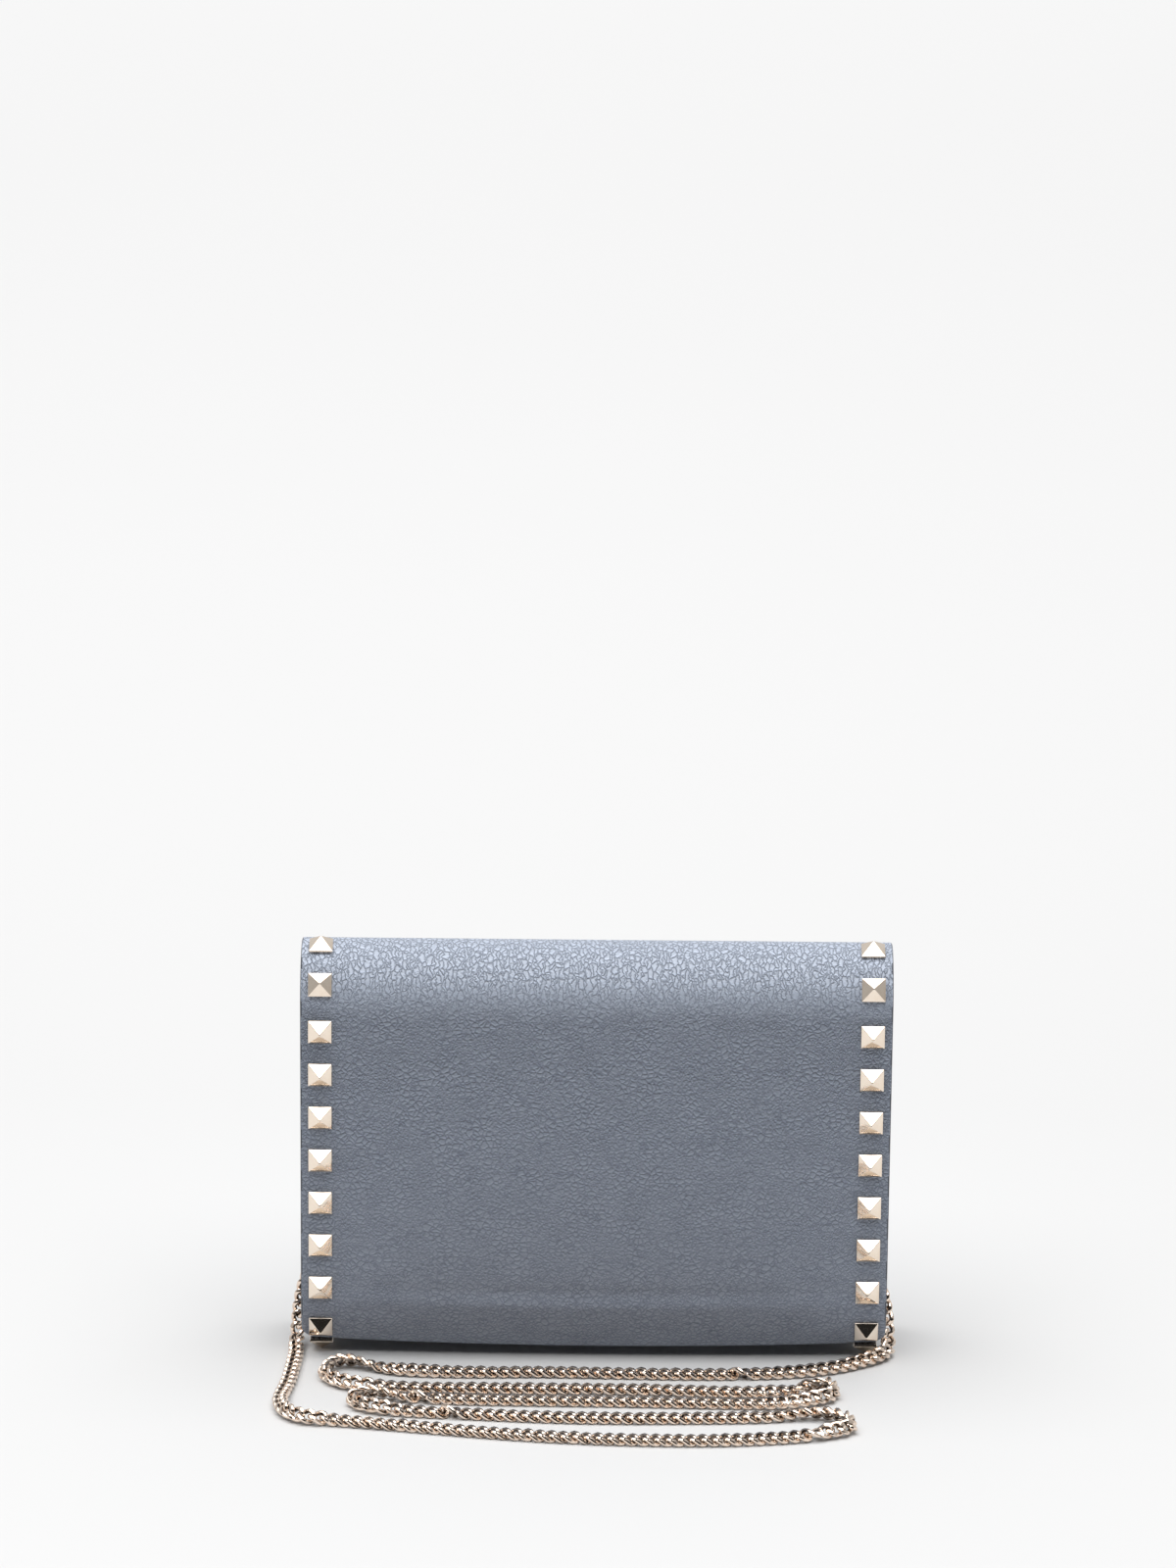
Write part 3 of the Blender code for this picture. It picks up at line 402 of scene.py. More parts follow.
@dataclass(frozen=True)
class SmoothFinish(Finish):
    """A plain finish with faint marks: edge paint, thread or thin pocket leather."""

    colour: Colour
    roughness: float = 0.5
    marks: float = 60.0
    depth: float = 0.02 * MM

    def draw(self, graph: Graph) -> None:
        """Draws the colour with soft tone and height changes."""
        place = coordinates_of(graph, Coordinates.SPACE)
        noise = graph.node("TexNoise", Vector=place, Scale=self.marks, Detail=3.0, Roughness=0.6)
        broad = graph.node("TexNoise", Vector=place, Scale=2.0, Detail=2.0)
        darker = tuple(c * 0.86 for c in self.colour[:3]) + (1.0,)
        graph.put(graph.shader.inputs["Base Color"], graph.blend(broad.outputs[0], darker, self.colour))
        low, high = self.roughness - 0.06, self.roughness + 0.08
        graph.put(graph.shader.inputs["Roughness"], graph.spread(noise.outputs[0], 0.3, 0.7, low, high))
        graph.put(graph.shader.inputs["Normal"], graph.bump(noise.outputs[0], self.depth, 0.6))


@dataclass(frozen=True)
class Metal(Finish):
    """Plated metal with fine rubbing marks, a little tarnish in broad patches and, where asked, painted shade in its
    recesses.
    """

    colour: Colour
    roughness: float = 0.16
    scratch: float = 0.08
    tarnish: Colour = rgb(214, 190, 165)
    # How dark the painted shade in the recesses gets; 0 leaves it out.
    recess_shade: float = 0.0

    def draw(self, graph: Graph) -> None:
        """Draws the plating, its marks, tone changes and painted shade in the recesses."""
        place = coordinates_of(graph, Coordinates.SPACE)
        rubbed = graph.node("TexNoise", Vector=graph.scaled(place, (1.0, 1.0, 7.0)), Scale=22.0, Detail=4.0)
        broad = graph.node("TexNoise", Vector=place, Scale=4.0, Detail=2.0)
        aged = graph.spread(broad.outputs[0], 0.45, 0.75, 0.0, 0.35)
        toned = graph.blend(aged, self.colour, self.tarnish)
        # Painted shade: the colour is darkened where a link faces into its hole or down.
        if self.recess_shade:
            inner = graph.node("Attribute", {"attribute_name": "recess_shade"}).outputs["Fac"]
            toned = graph.times(toned, graph.spread(inner, 0.45, 0.98, 1.0, 1.0 - self.recess_shade))
        graph.put(graph.shader.inputs["Base Color"], toned)
        rough = graph.spread(rubbed.outputs[0], 0.3, 0.75, self.roughness, self.roughness + self.scratch)
        graph.put(graph.shader.inputs["Roughness"], rough)
        graph.put(graph.shader.inputs["Normal"], graph.bump(rubbed.outputs[0], 0.004 * MM, 0.5))
        graph.shader.inputs["Metallic"].default_value = 1.0


@dataclass(frozen=True)
class Woven(Finish):
    """A woven cloth: fine twill or zip tape."""

    colour: Colour
    shade: Colour
    threads: float = 26.0
    slant: float = 1.0
    coordinates: Coordinates = Coordinates.SPACE

    def draw(self, graph: Graph) -> None:
        """Draws two sets of threads and a soft fuzz."""
        place = coordinates_of(graph, self.coordinates)
        split = graph.node("SeparateXYZ", Vector=place)
        across = graph.math("ADD", split.outputs[0], split.outputs[1])
        along = graph.math("ADD", split.outputs[2], split.outputs[1])
        rib = graph.math("SINE", graph.math("MULTIPLY", graph.math("MULTIPLY_ADD", across, self.slant, along), self.threads * 2.2))
        weft = graph.math("SINE", graph.math("MULTIPLY", graph.math("SUBTRACT", across, along), self.threads * 2.2))
        cloth = graph.math("MULTIPLY_ADD", rib, 0.3, graph.math("MULTIPLY_ADD", weft, 0.2, 0.5))
        fuzz = graph.node("TexNoise", Vector=place, Scale=70.0, Detail=4.0)
        height = graph.math("MULTIPLY_ADD", fuzz.outputs[0], 0.5, cloth)
        graph.put(graph.shader.inputs["Base Color"], graph.blend(graph.spread(height, 0.2, 1.1, 0.0, 1.0), self.shade, self.colour))
        graph.put(graph.shader.inputs["Normal"], graph.bump(height, 0.09 * MM, 0.8))
        graph.shader.inputs["Roughness"].default_value = 0.86
        graph.shader.inputs["Sheen Weight"].default_value = 0.25


@dataclass(frozen=True)
class Seamless(Finish):
    """The studio floor: an even matte white."""

    colour: Colour = (0.66, 0.66, 0.66, 1.0)
    glow: float = 0.5

    def draw(self, graph: Graph) -> None:
        """Draws an even white, greyer in front and lit from below far away."""
        place = graph.node("NewGeometry").outputs["Position"]
        split = graph.node("SeparateXYZ", Vector=place)
        noise = graph.node("TexNoise", Vector=place, Scale=4.0, Detail=2.0)
        even = graph.times(self.colour, graph.spread(noise.outputs[0], 0.0, 1.0, 0.995, 1.005))
        near = graph.spread(split.outputs[1], -0.44, -0.29, 0.0, 1.0)
        graph.put(graph.shader.inputs["Base Color"], graph.blend(near, (0.42, 0.42, 0.42, 1.0), even))
        graph.shader.inputs["Emission Color"].default_value = (1.0, 1.0, 1.0, 1.0)
        graph.put(graph.shader.inputs["Emission Strength"], graph.spread(graph.math("ABSOLUTE", split.outputs[1]), 0.25, 2.6, 0.0, self.glow))
        graph.shader.inputs["Roughness"].default_value = 0.9
        graph.shader.inputs["Specular IOR Level"].default_value = 0.1


class Finishes:
    """The finishes of the wallet."""

    SHELL = GrainedLeather("shell_leather")
    PANEL = GrainedLeather("panel_leather", coordinates=Coordinates.SPACE)
    POCKET = GrainedLeather(
        "pocket_leather_smooth", colour=rgb(136, 142, 157), crease=rgb(124, 130, 145),
        coordinates=Coordinates.SPACE, cells=8.0, depth=0.05 * MM, roughness=0.48, painted_emboss_light=0.12,
    )
    EDGE = SmoothFinish("edge_paint", rgb(66, 70, 80), 0.38, 30.0)
    THREAD = SmoothFinish("thread", rgb(120, 127, 142), 0.7, 90.0, 0.03 * MM)
    LINING = Woven("lining_twill", rgb(104, 108, 120), rgb(78, 82, 93))
    TAPE = Woven("zip_tape_cloth", rgb(86, 91, 104), rgb(60, 64, 75), 34.0, 0.0)
    STUD = Metal("stud_plating", rgb(244, 230, 214), 0.07, 0.07, rgb(230, 208, 184))
    CHAIN = Metal("chain_plating", rgb(246, 228, 212), 0.09, 0.09, rgb(220, 194, 172), 0.85)
    HARDWARE = Metal("hardware_plating", rgb(249, 234, 216), 0.12, 0.08, rgb(230, 208, 184))
    ZIP = Metal("zip_plating", rgb(244, 230, 212), 0.2, 0.1, rgb(220, 198, 174))
    SNAP = Metal("snap_plating", rgb(228, 216, 198), 0.22, 0.1, rgb(200, 184, 164))
    FLOOR = Seamless("studio_floor")


# ---------------------------------------------------------------- mesh helpers

Rings = np.ndarray


@dataclass
class Shape:
    """Points and faces of a mesh being put together."""

    points: list[np.ndarray] = field(default_factory=list)
    faces: list[tuple[int, ...]] = field(default_factory=list)
    grain: list[np.ndarray] = field(default_factory=list)
    count: int = 0

    def add_points(self, points: np.ndarray, grain: np.ndarray | None = None) -> int:
        """Adds points and returns the index of the first."""
        points = np.asarray(points, float).reshape(-1, 3)
        first = self.count
        self.points.append(points)
        self.grain.append(np.zeros((len(points), 2)) if grain is None else np.asarray(grain).reshape(-1, 2))
        self.count += len(points)
        return first

    def add_rings(self, rings: Rings, around: bool = True, along: bool = False, caps: bool = True,
                  grain: np.ndarray | None = None) -> None:
        """Joins rings of points with quads.

        Args:
            rings: Points, ring by ring.
            around: Whether each ring closes on itself.
            along: Whether the last ring joins the first.
            caps: Whether the end rings are closed with a face.
            grain: A UV for each point, if any.
        """
        rings = np.asarray(rings, float)
        rows, across = rings.shape[:2]
        first = self.add_points(rings, grain)
        for i in range(rows if along else rows - 1):
            low, high = first + i * across, first + ((i + 1) % rows) * across
            for j in range(across if around else across - 1):
                k = (j + 1) % across
                self.faces.append((low + j, low + k, high + k, high + j))
        if caps and around and not along:
            self.faces.append(tuple(first + j for j in reversed(range(across))))
            last = first + (rows - 1) * across
            self.faces.append(tuple(last + j for j in range(across)))

    def add_box(self, low: Sequence[float], high: Sequence[float]) -> None:
        """Adds a box between two corners."""
        (x0, y0, z0), (x1, y1, z1) = low, high
        ring = [(x0, y0), (x1, y0), (x1, y1), (x0, y1)]
        self.add_rings(np.array([[(x, y, z) for x, y in ring] for z in (z0, z1)]))

    def build(self, name: str, finish: Finish, smooth: bool | float = True) -> bpy.types.Object:
        """Makes the object.

        Args:
            name: The object's name.
            finish: Its finish.
            smooth: True or False, or the sharpest angle in degrees that is still smoothed.

        Returns:
            The object, linked to the scene.
        """
        mesh = bpy.data.meshes.new(name)
        points = np.concatenate(self.points)
        mesh.from_pydata(points.tolist(), [], self.faces)
        mesh.validate()
        grain = np.concatenate(self.grain)
        layer = mesh.uv_layers.new(name="grain")
        loops = np.zeros(len(mesh.loops), np.int32)
        mesh.loops.foreach_get("vertex_index", loops)
        layer.data.foreach_set("uv", (grain[loops] / GRAIN_UNIT).astype(np.float32).ravel())
        mesh.materials.append(finish.material())
        made = bpy.data.objects.new(name, mesh)
        bpy.context.scene.collection.objects.link(made)
        face_out(made)
        if smooth is True:
            mesh.shade_smooth()
        elif smooth is not False:
            mesh.shade_smooth()
            mesh.set_sharp_from_angle(angle=math.radians(float(smooth)))
            for face in mesh.polygons:
                face.use_smooth = len(face.vertices) <= 4
        return made


def face_out(obj: bpy.types.Object) -> None:
    """Turns every closed shell of a mesh to face outwards."""

    sheet = bmesh.new()
    sheet.from_mesh(obj.data)
    bmesh.ops.recalc_face_normals(sheet, faces=sheet.faces)
    sheet.to_mesh(obj.data)
    sheet.free()


def place_on(obj: bpy.types.Object, body: Body, nodes: Iterable[str] = ()) -> bpy.types.Object:
    """Rides a piece on a body and hides the CAD nodes it stands for."""
    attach(obj, body.value)
    nodes = list(nodes)
    if nodes:
        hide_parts(*nodes)
    return obj


def circle(radius: float, count: int, start: float = 0.0) -> np.ndarray:
    """Points round a circle, as pairs."""
    angles = start + TAU * np.arange(count) / count
    return np.stack([radius * np.cos(angles), radius * np.sin(angles)], axis=1)


def frames_along(points: np.ndarray, closed: bool = False) -> tuple[np.ndarray, np.ndarray, np.ndarray]:
    """Tangents and two cross directions that turn as little as they can along a line.

    Args:
        points: The line's points.
        closed: Whether the line joins its own start.

    Returns:
        Tangents, first and second cross directions.
    """
    if closed:
        tangents = np.roll(points, -1, axis=0) - np.roll(points, 1, axis=0)
    else:
        tangents = np.gradient(points, axis=0)
    tangents /= np.linalg.norm(tangents, axis=1, keepdims=True)
    start = np.eye(3)[np.argmin(np.abs(tangents[0]))]
    across = []
    normal = start - tangents[0] * (start @ tangents[0])
    for tangent in tangents:
        normal = normal - tangent * (normal @ tangent)
        normal = normal / np.linalg.norm(normal)
        across.append(normal)
    first = np.array(across)
    return tangents, first, np.cross(tangents, first)


def add_tube(shape: Shape, points: np.ndarray, radius: float | np.ndarray, closed: bool = False, sides: int = 12) -> None:
    """Adds a round tube along a line.

    Args:
        shape: The shape to add to.
        points: The centre line.
        radius: One radius, or one for each point.
        closed: Whether the line joins its own start.
        sides: Points round the tube.
    """
    points = np.asarray(points, float)
    _, first, second = frames_along(points, closed)
    ring = circle(1.0, sides)
    radii = np.broadcast_to(np.asarray(radius, float).reshape(-1, 1, 1), (len(points), 1, 1))
    rings = points[:, None] + radii * (ring[None, :, :1] * first[:, None] + ring[None, :, 1:] * second[:, None])
    shape.add_rings(rings, along=closed)


def rounded_outline(corners: Sequence[tuple[float, float]], radii: float | Sequence[float], steps: int = 8) -> np.ndarray:
    """A polygon with rounded corners.

    Args:
        corners: Its corners in order.
        radii: One radius, or one for each corner.
        steps: Segments for each corner.

    Returns:
        The outline's points.
    """
    corners = [np.array(c, float) for c in corners]
    radii = [float(radii)] * len(corners) if isinstance(radii, (int, float)) else list(radii)
    made = []
    for i, corner in enumerate(corners):
        before, after = corners[i - 1] - corner, corners[(i + 1) % len(corners)] - corner
        before, after = before / np.linalg.norm(before), after / np.linalg.norm(after)
        if radii[i] <= 0:
            made.append(corner)
            continue
        half = math.acos(max(-1.0, min(1.0, float(before @ after)))) / 2
        reach = radii[i] / math.tan(half)
        middle = corner + (before + after) / np.linalg.norm(before + after) * radii[i] / math.sin(half)
        start, end = corner + before * reach - middle, corner + after * reach - middle
        a0 = math.atan2(start[1], start[0])
        turn = (math.atan2(end[1], end[0]) - a0 + math.pi) % TAU - math.pi
        for k in range(steps + 1):
            a = a0 + turn * k / steps
            made.append(middle + radii[i] * np.array([math.cos(a), math.sin(a)]))
    return np.array(made)


def inset(outline: np.ndarray, distance: float) -> np.ndarray:
    """Moves a counter-clockwise outline inwards by a distance, along the corners' bisectors."""
    ahead = np.roll(outline, -1, axis=0) - outline
    lengths = np.linalg.norm(ahead, axis=1, keepdims=True)
    ahead = ahead / np.where(lengths < 1e-9, 1, lengths)
    behind = np.roll(ahead, 1, axis=0)
    left = np.stack([-(ahead[:, 1] + behind[:, 1]), ahead[:, 0] + behind[:, 0]], axis=1)
    norm = np.linalg.norm(left, axis=1, keepdims=True)
    left = left / np.where(norm < 1e-9, 1, norm)
    cosine = np.clip((left * np.stack([-ahead[:, 1], ahead[:, 0]], axis=1)).sum(1), 0.4, 1)
    return outline + left * (distance / cosine)[:, None]


def counter_clockwise(outline: np.ndarray) -> np.ndarray:
    """The outline, turned to run counter-clockwise."""
    x, y = outline[:, 0], outline[:, 1]
    area = float((x * np.roll(y, -1) - np.roll(x, -1) * y).sum())
    return outline if area > 0 else outline[::-1]


def add_soft_plate(shape: Shape, outline: np.ndarray, low: float, high: float, edge: float,
                   place: Callable[[np.ndarray, float], np.ndarray], steps: int = 4) -> None:
    """Adds a flat plate with softened edges.

    Args:
        shape: The shape to add to.
        outline: Its outline, in plane pairs.
        low: Where the thickness starts.
        high: Where it ends.
        edge: The radius of its edges.
        place: Turns plane pairs and a depth into points in space.
        steps: Segments for each rounded edge.
    """
    outline = counter_clockwise(outline)
    edge = min(edge, (high - low) / 2 * 0.999)
    rings = []
    for k in range(steps + 1):
        a = math.pi / 2 * k / steps
        rings.append(place(inset(outline, edge * (1 - math.sin(a))), low + edge * (1 - math.cos(a))))
    for k in range(steps + 1):
        a = math.pi / 2 * k / steps
        rings.append(place(inset(outline, edge * (1 - math.cos(a))), high - edge * (1 - math.sin(a))))
    shape.add_rings(np.array(rings))


def on_xz(pairs: np.ndarray, depth: float) -> np.ndarray:
    """Pairs as x and z, with the depth along y."""
    return np.stack([pairs[:, 0], np.full(len(pairs), depth), pairs[:, 1]], axis=1)


def on_xy(pairs: np.ndarray, depth: float) -> np.ndarray:
    """Pairs as x and y, with the depth along z."""
    return np.stack([pairs[:, 0], pairs[:, 1], np.full(len(pairs), depth)], axis=1)


def on_yz(pairs: np.ndarray, depth: float) -> np.ndarray:
    """Pairs as y and z, with the depth along x."""
    return np.stack([np.full(len(pairs), depth), pairs[:, 0], pairs[:, 1]], axis=1)


def rectangle(x0: float, x1: float, z0: float, z1: float, radii: float | Sequence[float], steps: int = 8) -> np.ndarray:
    """A rounded rectangle. Its corners run from the low pair anticlockwise."""
    return rounded_outline([(x0, z0), (x1, z0), (x1, z1), (x0, z1)], radii, steps)


# ---------------------------------------------------------------- the studio


@dataclass
class Studio:
    """The camera, a pale seamless floor and soft lights."""

    target: tuple[float, float, float] = (-2.5 * MM, 0.0, 75.0 * MM)
    distance: float = 2.75
    elevation_deg: float = 20.0
    roll_deg: float = 0.55
    lens: float = 185.1
    rise: float = 0.2264
    dark_room: float = 0.02
    bright_room: float = 0.45
    bright_rear: float = 1.5

    def build(self) -> None:
        """Adds everything of the studio."""
        self.add_camera()
        self.add_floor()
        self.add_lights()
        LOG.info("studio ready")

    def add_camera(self) -> None:
        """Adds the camera, looking down at the front with a slight roll."""
        camera = bpy.data.cameras.new("camera")
        camera.lens, camera.sensor_width = self.lens, 36.0
        camera.shift_y = self.rise
        camera.clip_start, camera.clip_end = 0.05, 50.0
        holder = bpy.data.objects.new("camera", camera)
        bpy.context.scene.collection.objects.link(holder)
        up = math.radians(self.elevation_deg)
        away = Vector((0.0, -math.cos(up), math.sin(up)))
        turn = away.to_track_quat("Z", "Y").to_matrix().to_4x4()
        roll = Matrix.Rotation(math.radians(self.roll_deg), 4, "Z")
        holder.matrix_world = Matrix.Translation(Vector(self.target) + away * self.distance) @ turn @ roll
        bpy.context.scene.camera = holder

    def add_floor(self) -> None:
        """Adds the seamless floor."""
        shape = Shape()
        half = 9.0
        shape.add_rings(np.array([[(-half, -half, 0), (half, -half, 0)], [(-half, half, 0), (half, half, 0)]]), around=False)
        floor = shape.build("floor", Finishes.FLOOR, False)

    def add_light(self, name: str, place: Sequence[float], look_at: Sequence[float], size: tuple[float, float],
                  power: float, colour: Sequence[float] = (1, 1, 1)) -> None:
        """Adds one rectangular softbox."""
        light = bpy.data.lights.new(name, "AREA")
        light.shape, light.size, light.size_y = "RECTANGLE", *size
        light.energy, light.color = power, tuple(colour)
        holder = bpy.data.objects.new(name, light)
        bpy.context.scene.collection.objects.link(holder)
        facing = Vector(place) - Vector(look_at)
        holder.matrix_world = Matrix.Translation(Vector(place)) @ facing.to_track_quat("Z", "Y").to_matrix().to_4x4()

    def add_lights(self) -> None:
        """Adds the top softbox and a pale room that is dark only low down in front."""
        world = bpy.data.worlds.new("studio")
        world.use_nodes = True
        tree = world.node_tree
        background = tree.nodes["Background"]
        direction = tree.nodes.new("ShaderNodeSeparateXYZ")
        tree.links.new(tree.nodes.new("ShaderNodeTexCoord").outputs["Generated"], direction.inputs[0])
        tilt = tree.nodes.new("ShaderNodeMath")
        tilt.operation = "MULTIPLY_ADD"
        tree.links.new(direction.outputs[1], tilt.inputs[0])
        tilt.inputs[1].default_value = 1.35
        tree.links.new(direction.outputs[2], tilt.inputs[2])
        sideways = tree.nodes.new("ShaderNodeMath")
        sideways.operation = "ABSOLUTE"
        tree.links.new(direction.outputs[0], sideways.inputs[0])
        spread = tree.nodes.new("ShaderNodeMath")
        spread.operation = "MULTIPLY_ADD"
        tree.links.new(sideways.outputs[0], spread.inputs[0])
        spread.inputs[1].default_value = 0.5
        tree.links.new(tilt.outputs[0], spread.inputs[2])
        level = tree.nodes.new("ShaderNodeMapRange")
        level.interpolation_type = "SMOOTHSTEP"
        tree.links.new(spread.outputs[0], level.inputs[0])
        for index, value in enumerate((-0.10, 0.22, self.dark_room, self.bright_room), 1):
            level.inputs[index].default_value = value
        rear = tree.nodes.new("ShaderNodeMapRange")
        rear.interpolation_type = "SMOOTHSTEP"
        tree.links.new(direction.outputs[1], rear.inputs[0])
        for index, value in enumerate((-0.1, 0.7, 1.0, self.bright_rear), 1):
            rear.inputs[index].default_value = value
        both = tree.nodes.new("ShaderNodeMath")
        both.operation = "MULTIPLY"
        tree.links.new(level.outputs[0], both.inputs[0])
        tree.links.new(rear.outputs[0], both.inputs[1])
        tree.links.new(both.outputs[0], background.inputs[1])
        background.inputs[0].default_value = (1.0, 1.0, 1.0, 1.0)
        bpy.context.scene.world = world
        self.add_light("top_softbox", (-0.15, -0.38, 2.2), (-0.15, -0.38, 0.0), (3.2, 2.9), 80.0)
        bpy.context.scene.view_settings.view_transform = "Standard"


# ---------------------------------------------------------------- the chain

RIGHT_RISER = [(88.4, 7.0, 82.4), (89.0, 7.0, 68.0), (90.2, 6.0, 54.0), (92.4, 4.0, 41.0), (95.8, 1.0, 29.0),
               (99.2, -2.0, 18.5), (101.0, -5.2, 9.4), (101.0, -9.6, 4.3), (98.6, -14.2, 2.8)]
FLOOR_RUN = [
    (92.0, -19.3), (80.0, -25.9), (62.0, -30.2), (32.0, -31.6), (-15.0, -30.7), (-44.0, -31.6), (-64.3, -30.7), (-76.5, -26.6),
    (-86.0, -25.5), (-91.4, -34.2), (-86.0, -43.1), (-73.0, -46.0), (-30.0, -46.0), (16.3, -46.0), (50.0, -47.7), (64.5, -48.3),
    (72.8, -44.9), (79.6, -43.3), (81.6, -49.4), (76.6, -54.7), (60.0, -57.9), (10.0, -56.9), (-42.7, -56.3), (-67.3, -54.4),
    (-76.0, -54.1), (-81.0, -59.5), (-74.0, -66.0), (-48.5, -68.8), (-1.7, -72.2), (50.0, -70.7), (74.0, -68.2), (85.6, -74.7),
    (81.0, -84.1), (40.0, -91.4), (-15.0, -89.0), (-79.0, -77.7), (-98.5, -75.0), (-105.3, -62.7), (-103.2, -39.0), (-101.8, -17.5),
]
LEFT_RISER = [(-101.9, -7.5, 4.0), (-101.3, -1.6, 11.0), (-99.4, 0.0, 20.5), (-95.8, 1.6, 30.0), (-92.4, 4.0, 41.0),
              (-90.2, 6.0, 54.0), (-89.0, 7.0, 68.0), (-88.4, 7.0, 82.4)]


def catmull_rom(points: np.ndarray, per_span: int = 24) -> np.ndarray:
    """A smooth line through points."""
    padded = np.concatenate([[2 * points[0] - points[1]], points, [2 * points[-1] - points[-2]]])
    line = []
    for i in range(len(points) - 1):
        a, b, c, d = padded[i : i + 4]
        t = (np.arange(per_span) / per_span)[:, None]
        line.append(0.5 * (2 * b + (c - a) * t + (2 * a - 5 * b + 4 * c - d) * t**2 + (3 * b - a - 3 * c + d) * t**3))
    return np.concatenate([*line, points[-1:]])


